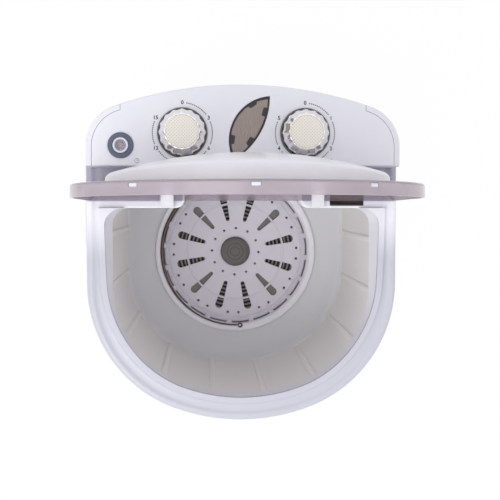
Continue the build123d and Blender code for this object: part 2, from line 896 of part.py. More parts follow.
top_collar.part.label = "top_collar"
export_step(top_collar.part, "parts/top_collar.step")

# Control head: the shell that carries the panel
with BuildPart() as control_head:
    head_bottom = deck_height + seat_gap
    with BuildSketch(level(head_bottom)):
        add(body_plan(head_bottom, head_inset).sketch_local)
        with Locations((0, head_front_y)):
            Rectangle(3 * half_width, 400, align=(Align.CENTER, Align.MIN), mode=Mode.INTERSECT)
    extrude(amount=head_height - head_bottom)
    top_edges = control_head.edges().group_by(Axis.Z)[-1]
    fillet(top_edges, head_edge_radius)
    with BuildSketch(level(head_bottom)):
        add(body_plan(head_bottom, head_inset + panel_border + wall).sketch_local)
        with Locations((0, head_front_y + wall)):
            Rectangle(3 * half_width, 400, align=(Align.CENTER, Align.MIN), mode=Mode.INTERSECT)
    extrude(amount=head_height, mode=Mode.SUBTRACT)
    extrude(panel_plan(panel_bottom, seat_gap).sketch, amount=2 * panel_thickness, mode=Mode.SUBTRACT)
control_head.part.label = "control_head"
export_step(control_head.part, "parts/control_head.step")

# Control panel with its holes for the two shafts, the window and the inlet
with BuildPart() as control_panel:
    extrude(panel_plan(panel_bottom).sketch, amount=panel_thickness)
    with BuildSketch(level(panel_bottom)):
        with Locations((-knob_x, knob_y), (knob_x, knob_y)):
            Circle(timer_shaft_radius + timer_shaft_hole)
        with Locations((inlet_x, inlet_y)):
            Circle(nozzle_radius)
        add(leaf_plan(panel_bottom).sketch_local)
    extrude(amount=panel_thickness, mode=Mode.SUBTRACT)
control_panel.part.label = "control_panel"
export_step(control_panel.part, "parts/control_panel.step")

# Smoke window: a plug in the leaf hole and a rim under the panel
with BuildPart() as leaf_window:
    extrude(leaf_plan(panel_bottom - leaf_rim, leaf_rim).sketch, amount=leaf_rim)
    extrude(leaf_plan(panel_bottom, -seat_gap).sketch, amount=panel_thickness - leaf_sink)
leaf_window.part.label = "leaf_window"
export_step(leaf_window.part, "parts/leaf_window.step")

# Four clips that hold the window from below
with BuildPart() as window_clips:
    with BuildSketch(level(panel_bottom - leaf_rim - window_clip_thickness)):
        for x, y, turn in window_clip_places:
            with Locations((x, y)):
                Rectangle(window_clip_length, window_clip_width, rotation=turn)
    extrude(amount=window_clip_thickness)
window_clips.part.label = "window_clips"
export_step(window_clips.part, "parts/window_clips.step")

# Water inlet: soft ring on the panel, nozzle through it and the hose to the tub
with BuildPart() as inlet_ring:
    with BuildSketch(level(head_height)):
        with Locations((inlet_x, inlet_y)):
            Circle(inlet_ring_radius)
            Circle(nozzle_radius + seat_gap, mode=Mode.SUBTRACT)
    extrude(amount=inlet_ring_height)
    fillet(inlet_ring.edges().group_by(Axis.Z)[-1], inlet_edge_radius)
inlet_ring.part.label = "inlet_ring"
export_step(inlet_ring.part, "parts/inlet_ring.step")

nozzle_bottom = panel_bottom - nozzle_length
with BuildPart() as inlet_nozzle:
    with BuildSketch(level(nozzle_bottom)):
        with Locations((inlet_x, inlet_y)):
            Circle(nozzle_radius)
    extrude(amount=head_height + nozzle_top - nozzle_bottom)
    with BuildSketch(level(panel_bottom - nozzle_flange_thickness)):
        with Locations((inlet_x, inlet_y)):
            Circle(nozzle_radius + nozzle_flange)
    extrude(amount=nozzle_flange_thickness)
    with BuildSketch(level(nozzle_bottom)):
        with Locations((inlet_x, inlet_y)):
            Circle(nozzle_bore)
    extrude(amount=head_height, mode=Mode.SUBTRACT)
    fillet(inlet_nozzle.edges().group_by(Axis.Z)[-1], inlet_edge_radius)
inlet_nozzle.part.label = "inlet_nozzle"
export_step(inlet_nozzle.part, "parts/inlet_nozzle.step")

with BuildPart() as inlet_hose:
    hose_height = flange_top + hose_rise
    with BuildLine() as hose_path:
        FilletPolyline(
            (inlet_x, tub_y + inlet_y, nozzle_bottom - seat_gap),
            (inlet_x, tub_y + inlet_y, hose_height),
            (hose_end_x, tub_y + hose_end_y, hose_height),
            radius=hose_bend_radius,
        )
    with BuildSketch(Plane(hose_path.line @ 0, z_dir=hose_path.line % 0)):
        Circle(hose_radius)
        Circle(nozzle_bore - hose_bore_step, mode=Mode.SUBTRACT)
    sweep(path=hose_path.line)
inlet_hose.part.label = "inlet_hose"
export_step(inlet_hose.part, "parts/inlet_hose.step")


# Each timer: body under the panel, bezel on it, knob with its insert and shaft
for name, x in (("wash", -knob_x), ("spin", knob_x)):
    timer_top = panel_bottom - seat_gap
    shaft_low = timer_top - timer_shaft_depth
    knob_low = head_height + knob_lift
    knob_high = head_height + knob_height
    with BuildPart() as timer:
        with BuildSketch(level(timer_top - timer_height)):
            with Locations((x, knob_y)):
                RectangleRounded(timer_side, timer_side, timer_corner_radius)
        extrude(amount=timer_height)
        with BuildSketch(level(timer_top - timer_height)):
            with Locations((x, knob_y)):
                with GridLocations(timer_tab_pitch, 0, timer_tab_count, 1):
                    Rectangle(timer_tab_thickness, timer_tab_width)
        extrude(amount=-timer_tab_length)
        with BuildSketch(level(shaft_low)):
            with Locations((x, knob_y)):
                Circle(timer_shaft_radius + running_gap)
        extrude(amount=timer_height, mode=Mode.SUBTRACT)
    timer.part.label = f"{name}_timer"
    export_step(timer.part, f"parts/{name}_timer.step")

    with BuildPart() as bezel:
        with BuildSketch(level(head_height)):
            with Locations((x, knob_y)):
                Circle(bezel_radius)
                Circle(bezel_radius - bezel_width, mode=Mode.SUBTRACT)
        extrude(amount=bezel_height)
    bezel.part.label = f"{name}_bezel"
    export_step(bezel.part, f"parts/{name}_bezel.step")

    with BuildPart() as knob:
        axis = Axis((x, tub_y + knob_y, 0), (0, 0, 1))
        with BuildSketch(section(knob_y)):
            with BuildLine():
                Polyline(
                    (x, knob_low),
                    (x + knob_radius, knob_low),
                    (x + knob_radius, knob_low + knob_skirt),
                    (x + knob_top_radius, knob_high),
                    (x, knob_high),
                    close=True,
                )
            make_face()
        revolve(axis=axis)
        with BuildSketch(level(knob_high - insert_depth)):
            with Locations((x, knob_y)):
                Circle(insert_radius)
        extrude(amount=2 * insert_depth, mode=Mode.SUBTRACT)
        with BuildSketch(level(knob_low)):
            with Locations((x, knob_y)):
                Circle(timer_shaft_radius)
        extrude(amount=knob_socket_depth, mode=Mode.SUBTRACT)
        with BuildSketch(level(knob_low)):
            with Locations((x, knob_y)):
                Circle(knob_radius - knob_wall)
                Circle(timer_shaft_radius + knob_hub, mode=Mode.SUBTRACT)
        extrude(amount=knob_skirt, mode=Mode.SUBTRACT)
    knob.part.label = f"{name}_knob"
    export_step(knob.part, f"parts/{name}_knob.step")

    with BuildPart() as insert:
        with BuildSketch(level(knob_high - insert_depth)):
            with Locations((x, knob_y)):
                Circle(insert_radius)
        extrude(amount=insert_depth + insert_rise)
        fillet(insert.edges().group_by(Axis.Z)[-1], insert_edge_radius)
    insert.part.label = f"{name}_knob_insert"
    export_step(insert.part, f"parts/{name}_knob_insert.step")

    with BuildPart() as timer_shaft:
        with BuildSketch(level(shaft_low + running_gap)):
            with Locations((x, knob_y)):
                Circle(timer_shaft_radius)
        extrude(amount=knob_low + knob_socket_depth - shaft_low - running_gap)
    timer_shaft.part.label = f"{name}_timer_shaft"
    export_step(timer_shaft.part, f"parts/{name}_timer_shaft.step")

# Hinge brackets: two white posts that stand on the ledge and run through the lid's back edge
with BuildPart() as hinge_brackets:
    bracket_foot = deck_height
    bracket_front = ledge_y + bracket_setback
    bracket_back = hinge_y + bracket_boss_radius
    shoulder_y = hinge_y - shoulder_back * bracket_boss_radius
    shoulder_z = hinge_z + shoulder_rise * bracket_boss_radius
    for x in (-bracket_x, bracket_x):
        with BuildSketch(side(x - bracket_width / 2)):
            with BuildLine():
                Polyline(
                    (bracket_front, bracket_foot),
                    (bracket_front, bracket_foot + bracket_toe),
                    (bracket_front + bracket_toe_run, bracket_foot + bracket_toe_rise),
                    (hinge_y - bracket_throat, bracket_foot + bracket_back_rise),
                    (shoulder_y, shoulder_z),
                    (hinge_y, hinge_z),
                    (bracket_back, hinge_z),
                    (bracket_back, bracket_foot),
                    close=True,
                )
            make_face()
            with Locations((hinge_y, hinge_z)):
                Circle(bracket_boss_radius)
                Circle(pin_radius + running_gap, mode=Mode.SUBTRACT)
        extrude(amount=bracket_width)
hinge_brackets.part.label = "hinge_brackets"
export_step(hinge_brackets.part, "parts/hinge_brackets.step")

# Lid frame: smoke plate with a skirt all round, slots for the brackets and three clip windows
clip_corner = front_corner_radius - lid_inset
clip_lean = degrees(asin((clip_x - front_corner_x) / clip_corner))
clip_y = front_corner_y - clip_corner * cos(radians(clip_lean))
clip_level = lid_depth - clip_drop
clip_spots = [
    (0, front_y + lid_inset, 0),
    (clip_x, clip_y, clip_lean),
    (-clip_x, clip_y, -clip_lean),
]
with BuildPart() as lid_frame:
    extrude(lid_plan(0, lid_inset, lid_back_y, lid_corner_radius).sketch, amount=lid_depth)
    outer_edges = lid_frame.faces().sort_by(Axis.Y)[-1].edges()
    fillet(outer_edges, lid_edge_radius)
    with BuildSketch(lid_level(0)):
        add(
            lid_plan(
                0, lid_inset + lid_skirt, lid_back_y - lid_skirt, lid_corner_radius - lid_skirt
            ).sketch_local
        )
        with Locations((0, hinge_y + cross_wall_set)):
            Rectangle(3 * half_width, lid_skirt, align=(Align.CENTER, Align.MIN), mode=Mode.SUBTRACT)
    extrude(amount=lid_depth - lid_plate, mode=Mode.SUBTRACT)
    with BuildSketch(lid_level(0)):
        for x in (-bracket_x, bracket_x):
            with Locations((x, hinge_y - slot_reach)):
                Rectangle(
                    bracket_width + 2 * bracket_slot_gap,
                    past_the_wall,
                    align=(Align.CENTER, Align.MIN),
                )
    extrude(amount=lid_depth, mode=Mode.SUBTRACT)
    with BuildSketch(lid_level(clip_level)):
        for x, y, turn in clip_spots:
            with Locations((x, y)):
                Rectangle(clip_width, 3 * lid_skirt, rotation=turn)
    extrude(amount=clip_height, mode=Mode.SUBTRACT)
    heel_radius = hinge_z - deck_height - heel_gap
    with BuildSketch(lid_side(-half_width)):
        Rectangle(2 * heel_radius, 2 * heel_radius, align=(Align.MIN, Align.MAX))
        Circle(heel_radius, mode=Mode.SUBTRACT)
    extrude(amount=2 * half_width, mode=Mode.SUBTRACT)
lid_frame.part.label = "lid_frame"
export_step(lid_frame.part, "parts/lid_frame.step")

# Lid clips: tongues that fill the three windows in the skirt
with BuildPart() as lid_clips:
    with BuildSketch(lid_level(clip_level + seat_gap)):
        for x, y, turn in clip_spots:
            inward = Vector(0, 1).rotate(Axis.Z, turn) * (lid_skirt / 2 + clip_step)
            with Locations((x + inward.X, y + inward.Y)):
                Rectangle(clip_width - 2 * seat_gap, lid_skirt + clip_tongue, rotation=turn)
    extrude(amount=clip_height - 2 * seat_gap)
lid_clips.part.label = "lid_clips"
export_step(lid_clips.part, "parts/lid_clips.step")

# Lid dome: a hollow white cap on the frame's plate
dome_half_width = half_width - dome_inset
dome_rise = dome_height - dome_edge_height
dome_radius = (dome_half_width**2 + dome_rise**2) / (2 * dome_rise)
dome_y = (front_y + dome_inset + dome_back_y) / 2
with BuildPart() as dome_core:
    extrude(
        lid_plan(
            lid_depth + seat_gap,
            dome_inset + dome_wall,
            dome_back_y - dome_wall,
            dome_corner_radius - dome_wall,
        ).sketch,
        amount=dome_height,
    )
    core_middle = lid_level(lid_depth + dome_height - dome_radius)
    with Locations(Plane(core_middle.from_local_coords((0, dome_y, 0)))):
        Sphere(dome_radius - dome_wall, mode=Mode.INTERSECT)
with BuildPart() as lid_dome:
    extrude(
        lid_plan(lid_depth + seat_gap, dome_inset, dome_back_y, dome_corner_radius).sketch,
        amount=dome_height,
    )
    with Locations(Plane(core_middle.from_local_coords((0, dome_y, 0)))):
        Sphere(dome_radius, mode=Mode.INTERSECT)
    add(dome_core.part, mode=Mode.SUBTRACT)
lid_dome.part.label = "lid_dome"
export_step(lid_dome.part, "parts/lid_dome.step")

# Lid arms: an ear each side of every bracket, standing on the frame's plate
ear_inner = bracket_width / 2 + ear_gap
ear_drop = hinge_z - lid_seat - lid_depth - running_gap
with BuildPart() as lid_arms:
    for x in (-bracket_x, bracket_x):
        for start in (x - ear_inner - ear_thickness, x + ear_inner):
            with BuildSketch(lid_side(start)):
                Trapezoid(ear_foot, ear_drop, ear_slope, align=(Align.CENTER, Align.MAX))
                Circle(ear_radius)
                Circle(pin_radius, mode=Mode.SUBTRACT)
            extrude(amount=ear_thickness)
lid_arms.part.label = "lid_arms"
export_step(lid_arms.part, "parts/lid_arms.step")

# Hinge pins
with BuildPart() as hinge_pins:
    pin_reach = ear_inner + ear_thickness + pin_end
    for x in (-bracket_x, bracket_x):
        with BuildSketch(side(x - pin_reach)):
            with Locations((hinge_y, hinge_z)):
                Circle(pin_radius)
        extrude(amount=2 * pin_reach)
hinge_pins.part.label = "hinge_pins"
export_step(hinge_pins.part, "parts/hinge_pins.step")

# Side grips: cups in the side walls with a proud rim
with BuildPart() as grip_cups:
    for way in (-1, 1):
        out_x = half_width + seat_gap
        in_x = half_width - wall - grip_depth
        outside = Plane((way * out_x, tub_y, 0), x_dir=(0, way, 0), z_dir=(way, 0, 0))
        inside = Plane((way * in_x, tub_y, 0), x_dir=(0, way, 0), z_dir=(way, 0, 0))
        cup_length = grip_length - 2 * seat_gap
        cup_height = grip_height - 2 * seat_gap
        with BuildSketch(outside):
            with Locations((way * grip_y, grip_z)):
                RectangleRounded(grip_length + 2 * grip_rim, grip_height + 2 * grip_rim, grip_rim_corner)
        extrude(amount=grip_proud)
        with BuildSketch(inside):
            with Locations((way * grip_y, grip_z)):
                RectangleRounded(cup_length, cup_height, grip_corner - seat_gap)
        extrude(amount=grip_depth + wall + grip_proud)
        with BuildSketch(inside.offset(grip_wall)):
            with Locations((way * grip_y, grip_z)):
                RectangleRounded(
                    cup_length - 2 * grip_wall,
                    cup_height - 2 * grip_wall,
                    grip_corner - grip_wall - seat_gap,
                )
        extrude(amount=past_the_wall, mode=Mode.SUBTRACT)
grip_cups.part.label = "grip_cups"
export_step(grip_cups.part, "parts/grip_cups.step")

# Cord gland in the back wall
gland_plane = back_plane(-rear_fitting_x, rear_fitting_z, seat_gap)
with BuildPart() as cord_gland:
    with BuildSketch(gland_plane):
        Circle(gland_bore + gland_flange)
    extrude(amount=gland_flange_thickness)
    with BuildSketch(gland_plane.offset(-gland_depth)):
        Circle(gland_bore + gland_wall)
    extrude(amount=gland_depth + gland_reach)
    with BuildSketch(gland_plane.offset(-gland_depth)):
        Circle(gland_bore)
    extrude(amount=gland_depth + 2 * gland_reach, mode=Mode.SUBTRACT)
cord_gland.part.label = "cord_gland"
export_step(cord_gland.part, "parts/cord_gland.step")

# Run capacitor and its clamp on the base plate
with BuildPart() as capacitor:
    with BuildSketch(level(base_top + seat_gap)):
        with Locations((capacitor_x, capacitor_y)):
            Circle(capacitor_radius)
    extrude(amount=capacitor_height)
    fillet(capacitor.edges().group_by(Axis.Z)[-1], capacitor_edge_radius)
    with BuildSketch(level(base_top + seat_gap + capacitor_height)):
        with Locations((capacitor_x, capacitor_y)):
            with GridLocations(2 * capacitor_tab_x, 0, 2, 1):
                Rectangle(capacitor_tab_thickness, capacitor_tab_width)
    extrude(amount=capacitor_tab_height)
capacitor.part.label = "capacitor"
export_step(capacitor.part, "parts/capacitor.step")

# Terminal block for the cord, on the base plate
with BuildPart() as terminal_block:
    with BuildSketch(level(base_top)):
        with Locations((terminal_x, terminal_y)):
            Rectangle(terminal_length, terminal_width)
    extrude(amount=terminal_height)
    with BuildSketch(level(base_top + terminal_height)):
        with Locations((terminal_x, terminal_y)):
            with GridLocations(terminal_pitch, terminal_row_pitch, terminal_columns, 2):
                Circle(terminal_hole_radius)
    extrude(amount=-terminal_hole_depth, mode=Mode.SUBTRACT)
terminal_block.part.label = "terminal_block"
export_step(terminal_block.part, "parts/terminal_block.step")

with BuildPart() as capacitor_clamp:
    with BuildSketch(level(base_top)):
        with Locations((capacitor_x, capacitor_y)):
            Circle(capacitor_radius + clamp_wall)
        with Locations((capacitor_x, capacitor_y + capacitor_radius)):
            Rectangle(clamp_foot_width, clamp_foot_length, align=(Align.CENTER, Align.MIN))
        with Locations((capacitor_x, capacitor_y)):
            Circle(capacitor_radius + seat_gap, mode=Mode.SUBTRACT)
    extrude(amount=clamp_height)
    with BuildSketch(level(base_top + clamp_foot_height)):
        with Locations((capacitor_x, capacitor_y + capacitor_radius + clamp_foot_set)):
            Rectangle(2 * clamp_foot_width, clamp_foot_length, align=(Align.CENTER, Align.MIN))
    extrude(amount=clamp_height, mode=Mode.SUBTRACT)
capacitor_clamp.part.label = "capacitor_clamp"
export_step(capacitor_clamp.part, "parts/capacitor_clamp.step")

# Motor mounts, bracket, housing and what is fixed in it
with BuildPart() as motor_mounts:
    with BuildSketch(level(boss_top)):
        with Locations(*mount_places):
            Circle(boss_radius)
    extrude(amount=motor_bottom - bracket_plate - boss_top)
motor_mounts.part.label = "motor_mounts"
export_step(motor_mounts.part, "parts/motor_mounts.step")

with BuildPart() as motor_bracket:
    with BuildSketch(level(motor_bottom - bracket_plate)):
        with Locations((0, motor_y)):
            RectangleRounded(
                2 * (mount_x + bracket_margin),
                2 * (mount_y + bracket_margin),
                bracket_corner_radius,
            )
            Circle(motor_pulley_radius + motor_pulley_play, mode=Mode.SUBTRACT)
            with PolarLocations(motor_screw_ring, 4, start_angle=45):
                Circle(small_screw_radius, mode=Mode.SUBTRACT)
    extrude(amount=bracket_plate)
motor_bracket.part.label = "motor_bracket"
export_step(motor_bracket.part, "parts/motor_bracket.step")

with BuildPart() as motor_housing:
    with BuildSketch(level(motor_bottom)):
        with Locations((0, motor_y)):
            Circle(motor_radius)
    extrude(amount=motor_height)
    fillet(motor_housing.edges().group_by(Axis.Z)[-1], motor_edge_radius)
    with BuildSketch(level(motor_top)):
        with Locations((0, motor_y)):
            Circle(motor_boss_radius)
    extrude(amount=motor_boss_height)
    with BuildSketch(level(motor_bottom + motor_floor)):
        with Locations((0, motor_y)):
            Circle(motor_radius - motor_wall)
    extrude(amount=motor_height - motor_floor - motor_roof, mode=Mode.SUBTRACT)
    with BuildSketch(level(motor_bottom)):
        with Locations((0, motor_y)):
            Circle(bearing_radius)
    extrude(amount=motor_height - motor_roof + bearing_width, mode=Mode.SUBTRACT)
    with BuildSketch(level(motor_bottom)):
        with Locations((0, motor_y)):
            with PolarLocations(motor_screw_ring, 4, start_angle=45):
                Circle(small_screw_radius)
    extrude(amount=motor_floor, mode=Mode.SUBTRACT)
    with BuildSketch(level(motor_bottom + motor_vent_rise)):
        with Locations((0, motor_y)):
            with PolarLocations(motor_radius, motor_vent_count):
                Rectangle(4 * motor_wall, motor_vent_width)
    extrude(amount=motor_vent_height, mode=Mode.SUBTRACT)
motor_housing.part.label = "motor_housing"
export_step(motor_housing.part, "parts/motor_housing.step")

stator_low = motor_bottom + stator_rise
stator_high = stator_low + stator_length
with BuildPart() as motor_stator:
    with BuildSketch(level(stator_low)):
        with Locations((0, motor_y)):
            Circle(motor_radius - motor_wall)
            Circle(stator_bore, mode=Mode.SUBTRACT)
    extrude(amount=stator_high - stator_low)
motor_stator.part.label = "motor_stator"
export_step(motor_stator.part, "parts/motor_stator.step")

with BuildPart() as motor_windings:
    for low, height in ((stator_low - winding_low, winding_low), (stator_high, winding_high)):
        with BuildSketch(level(low)):
            with Locations((0, motor_y)):
                Circle(winding_outer)
                Circle(winding_inner, mode=Mode.SUBTRACT)
        extrude(amount=height)
motor_windings.part.label = "motor_windings"
export_step(motor_windings.part, "parts/motor_windings.step")

with BuildPart() as motor_bearings:
    for low in (motor_bottom, motor_top - motor_roof):
        with BuildSketch(level(low)):
            with Locations((0, motor_y)):
                Circle(bearing_radius)
                Circle(motor_shaft_radius + running_gap, mode=Mode.SUBTRACT)
        extrude(amount=bearing_width)
motor_bearings.part.label = "motor_bearings"
export_step(motor_bearings.part, "parts/motor_bearings.step")

with BuildPart() as motor_screws:
    with BuildSketch(level(motor_bottom - bracket_plate)):
        with Locations((0, motor_y)):
            with PolarLocations(motor_screw_ring, 4, start_angle=45):
                Circle(small_screw_radius)
    extrude(amount=motor_screw_length)
    with BuildSketch(level(motor_bottom - bracket_plate)):
        with Locations((0, motor_y)):
            with PolarLocations(motor_screw_ring, 4, start_angle=45):
                RegularPolygon(hex_radius, 6)
    extrude(amount=-hex_height)
motor_screws.part.label = "motor_screws"
export_step(motor_screws.part, "parts/motor_screws.step")

# Rotor, its shaft, fan and pulley
with BuildPart() as motor_rotor:
    with BuildSketch(level(stator_low)):
        with Locations((0, motor_y)):
            Circle(stator_bore - air_gap)
            Circle(motor_shaft_radius, mode=Mode.SUBTRACT)
    extrude(amount=stator_high - stator_low)
motor_rotor.part.label = "motor_rotor"
export_step(motor_rotor.part, "parts/motor_rotor.step")

with BuildPart() as motor_shaft:
    with BuildSketch(level(pulley_bottom - motor_shaft_end)):
        with Locations((0, motor_y)):
            Circle(motor_shaft_radius)
    extrude(amount=motor_top - pulley_bottom + motor_shaft_end + motor_shaft_top)
motor_shaft.part.label = "motor_shaft"
export_step(motor_shaft.part, "parts/motor_shaft.step")

with BuildPart() as motor_fan:
    with BuildSketch(level(stator_high + fan_rise)):
        with Locations((0, motor_y)):
            Circle(fan_hub_radius)
            with PolarLocations(fan_blade_ring, fan_blade_count):
                Rectangle(fan_blade_length, fan_blade_width, rotation=fan_blade_turn)
            Circle(motor_shaft_radius, mode=Mode.SUBTRACT)
    extrude(amount=fan_height)
motor_fan.part.label = "motor_fan"
export_step(motor_fan.part, "parts/motor_fan.step")

# A pulley: rim with a belt groove, drawn as a half section
groove_depth = belt_thickness + groove_step
groove_width = belt_width + groove_play


def pulley_section(radius, bore, axis_y, hub_top):
    low = pulley_bottom
    high = pulley_bottom + pulley_width
    cheek = (pulley_width - groove_width) / 2
    with BuildSketch(section(axis_y)) as profile:
        with BuildLine():
            Polyline(
                (bore, low),
                (radius, low),
                (radius, low + cheek),
                (radius - groove_depth, low + cheek),
                (radius - groove_depth, high - cheek),
                (radius, high - cheek),
                (radius, high),
                (bore + pulley_hub, high),
                (bore + pulley_hub, hub_top),
                (bore, hub_top),
                close=True,
            )
        make_face()
    return profile.sketch


with BuildPart() as motor_pulley:
    add(pulley_section(motor_pulley_radius, motor_shaft_radius, motor_y, pulley_bottom + motor_pulley_length))
    revolve(axis=motor_axis)
motor_pulley.part.label = "motor_pulley"
export_step(motor_pulley.part, "parts/motor_pulley.step")

with BuildPart() as drive_pulley:
    add(pulley_section(pulley_radius, shaft_radius, 0, pulley_bottom + drive_pulley_length))
    revolve(axis=tub_axis)
    with BuildSketch(level(pulley_bottom)):
        with PolarLocations(pulley_hole_ring, pulley_hole_count):
            Circle(pulley_hole_radius)
    extrude(amount=pulley_width, mode=Mode.SUBTRACT)
drive_pulley.part.label = "drive_pulley"
export_step(drive_pulley.part, "parts/drive_pulley.step")

# Belt: lies in both grooves with a small gap to their floors
with BuildPart() as drive_belt:
    belt_low = pulley_bottom + (pulley_width - belt_width) / 2
    big_inner = pulley_radius - groove_depth + loose_gap
    small_inner = motor_pulley_radius - groove_depth + loose_gap
    with BuildSketch(level(belt_low)):
        Circle(big_inner + belt_thickness)
        with Locations((0, motor_y)):
            Circle(small_inner + belt_thickness)
        make_hull()
        offset(amount=-belt_thickness, mode=Mode.SUBTRACT)
    extrude(amount=belt_width)
drive_belt.part.label = "drive_belt"
export_step(drive_belt.part, "parts/drive_belt.step")

# Drive shaft, its housing under the well, bushes, seal and screws
shaft_top = basket_floor_height - shaft_cap_gap
with BuildPart() as drive_shaft:
    with BuildSketch(level(pulley_bottom)):
        Circle(shaft_radius)
    extrude(amount=shaft_top - pulley_bottom)
    chamfer(drive_shaft.edges().group_by(Axis.Z)[-1], shaft_chamfer)
drive_shaft.part.label = "drive_shaft"
export_step(drive_shaft.part, "parts/drive_shaft.step")

with BuildPart() as pulley_bolt:
    with BuildSketch(level(pulley_bottom)):
        Circle(shaft_radius + bolt_washer)
    extrude(amount=-bolt_washer_thickness)
    with BuildSketch(level(pulley_bottom - bolt_washer_thickness)):
        RegularPolygon(bolt_head_radius, 6)
    extrude(amount=-bolt_head_height)
pulley_bolt.part.label = "pulley_bolt"
export_step(pulley_bolt.part, "parts/pulley_bolt.step")

housing_top = well_floor_height - tub_floor
with BuildPart() as shaft_housing:
    with BuildSketch(level(housing_bottom)):
        Circle(bush_radius + housing_wall)
    extrude(amount=housing_top - housing_bottom)
    with BuildSketch(level(housing_top - housing_flange_thickness)):
        Circle(housing_flange_radius)
    extrude(amount=housing_flange_thickness)
    with BuildSketch(level(housing_top - housing_rib_drop)):
        with PolarLocations(0, 2, start_angle=0, angular_range=180):
            Rectangle(housing_rib_span, housing_rib_width)
    extrude(amount=housing_rib_height)
    with BuildSketch(level(housing_bottom)):
        Circle(bush_radius)
    extrude(amount=housing_top, mode=Mode.SUBTRACT)
    with BuildSketch(level(housing_top - housing_flange_thickness)):
        with PolarLocations(housing_screw_ring, 4, start_angle=45):
            Circle(small_screw_radius)
    extrude(amount=housing_flange_thickness, mode=Mode.SUBTRACT)
shaft_housing.part.label = "shaft_housing"
export_step(shaft_housing.part, "parts/shaft_housing.step")

with BuildPart() as drive_bushes:
    for low in (housing_bottom, housing_top - bush_drop):
        with BuildSketch(level(low)):
            Circle(bush_radius)
            Circle(shaft_radius + running_gap, mode=Mode.SUBTRACT)
        extrude(amount=bush_length)
drive_bushes.part.label = "drive_bushes"
export_step(drive_bushes.part, "parts/drive_bushes.step")

with BuildPart() as shaft_seal:
    with BuildSketch(level(housing_top)):
        Circle(seal_radius - running_gap)
        Circle(shaft_radius + seal_bore_gap, mode=Mode.SUBTRACT)
    extrude(amount=seal_height)
shaft_seal.part.label = "shaft_seal"
export_step(shaft_seal.part, "parts/shaft_seal.step")

with BuildPart() as housing_screws:
    with BuildSketch(level(housing_top - housing_flange_thickness)):
        with PolarLocations(housing_screw_ring, 4, start_angle=45):
            Circle(small_screw_radius)
    extrude(amount=housing_flange_thickness)
    with BuildSketch(level(housing_top - housing_flange_thickness)):
        with PolarLocations(housing_screw_ring, 4, start_angle=45):
            RegularPolygon(hex_radius, 6)
    extrude(amount=-hex_height)
housing_screws.part.label = "housing_screws"
export_step(housing_screws.part, "parts/housing_screws.step")

# Pulsator: ribbed plate under the basket
with BuildPart() as pulsator:
    plate_low = well_floor_height + pulsator_gap
    plate_high = plate_low + pulsator_plate
    pulsator_top = basket_floor_height - pulsator_drop
    rib_start = pulsator_hub_radius - 1
    rib_end = pulsator_radius - 1
    ring_radii = [first_ring + ring_pitch * i for i in range(int((rib_end - first_ring) / ring_pitch) + 1)]
    ring_radii.append(rib_end)
    with BuildSketch(level(plate_low)):
        Circle(pulsator_radius)
        Circle(shaft_radius, mode=Mode.SUBTRACT)
    extrude(amount=plate_high - plate_low)
    with BuildSketch(level(plate_high)):
        Circle(pulsator_hub_radius)
        with PolarLocations((rib_start + rib_end) / 2, pulsator_ribs):
            Rectangle(rib_end - rib_start, pulsator_rib_width)
        for radius in ring_radii:
            with BuildSketch(mode=Mode.PRIVATE) as ring:
                Circle(radius + pulsator_rib_width / 2)
                Circle(radius - pulsator_rib_width / 2, mode=Mode.SUBTRACT)
            add(ring.sketch_local)
        Circle(shaft_radius, mode=Mode.SUBTRACT)
    extrude(amount=pulsator_top - plate_high)
pulsator.part.label = "pulsator"
export_step(pulsator.part, "parts/pulsator.step")

# Spin basket: shallow dish with slots, small holes, wall windows and a lip
with BuildPart() as spin_basket:
    floor_low = basket_floor_height - basket_wall
    lip_low = basket_lip_height - basket_lip_thickness
    with BuildSketch(section()):
        with BuildLine():
            Polyline(
                (shaft_radius + loose_gap, floor_low),
                (basket_floor_radius + 1.5, floor_low),
                (basket_top_radius + 2.5, lip_low - 0.6),
                (basket_top_radius + 4.5, lip_low),
                (basket_lip_radius, lip_low),
                (basket_lip_radius, basket_lip_height - 1.2),
                (basket_lip_radius - 1.2, basket_lip_height),
                (basket_top_radius + 1, basket_lip_height),
                (basket_top_radius, basket_lip_height - 1.5),
                (basket_floor_radius, basket_floor_height),
                (shaft_radius + loose_gap, basket_floor_height),
                close=True,
            )
        make_face()
    revolve(axis=tub_axis)
    with BuildSketch(level(pulsator_top + loose_gap)):
        Circle(basket_hub_radius)
        Circle(shaft_radius + loose_gap, mode=Mode.SUBTRACT)
    extrude(amount=floor_low - pulsator_top - loose_gap)
    with BuildSketch(level(floor_low)) as keep_ring:
        Circle(slot_ring_radius + slot_ring_width / 2)
        Circle(slot_ring_radius - slot_ring_width / 2, mode=Mode.SUBTRACT)
    extrude(amount=basket_wall + slot_ring_rise)
    with BuildSketch(level(floor_low)) as slots:
        with PolarLocations(slot_middle_radius - slot_half_length, slot_count, start_angle=slot_turn):
            Circle(slot_inner_half)
        with PolarLocations(slot_middle_radius, slot_count, start_angle=slot_turn):
            Polygon(
                (-slot_half_length, -slot_inner_half),
                (slot_half_length, -slot_outer_half),
                (slot_half_length, slot_outer_half),
                (-slot_half_length, slot_inner_half),
                align=None,
            )
        with PolarLocations(slot_middle_radius + slot_half_length, slot_count, start_angle=slot_turn):
            Circle(slot_outer_half)
        add(keep_ring.sketch_local, mode=Mode.SUBTRACT)
        hole_turn = slot_turn - 180 / slot_count
        with PolarLocations(inner_hole_ring, slot_count, start_angle=hole_turn):
            Circle(inner_hole_radius)
        for swing in (-outer_hole_swing, outer_hole_swing):
            with PolarLocations(outer_hole_ring, slot_count, start_angle=hole_turn + swing):
                Circle(outer_hole_radius)
    extrude(amount=2 * basket_wall, mode=Mode.SUBTRACT)
    with Locations(level((basket_floor_height + lip_low) / 2)):
        with PolarLocations(basket_top_radius, window_count):
            Box(window_reach, window_width, window_height, mode=Mode.SUBTRACT)
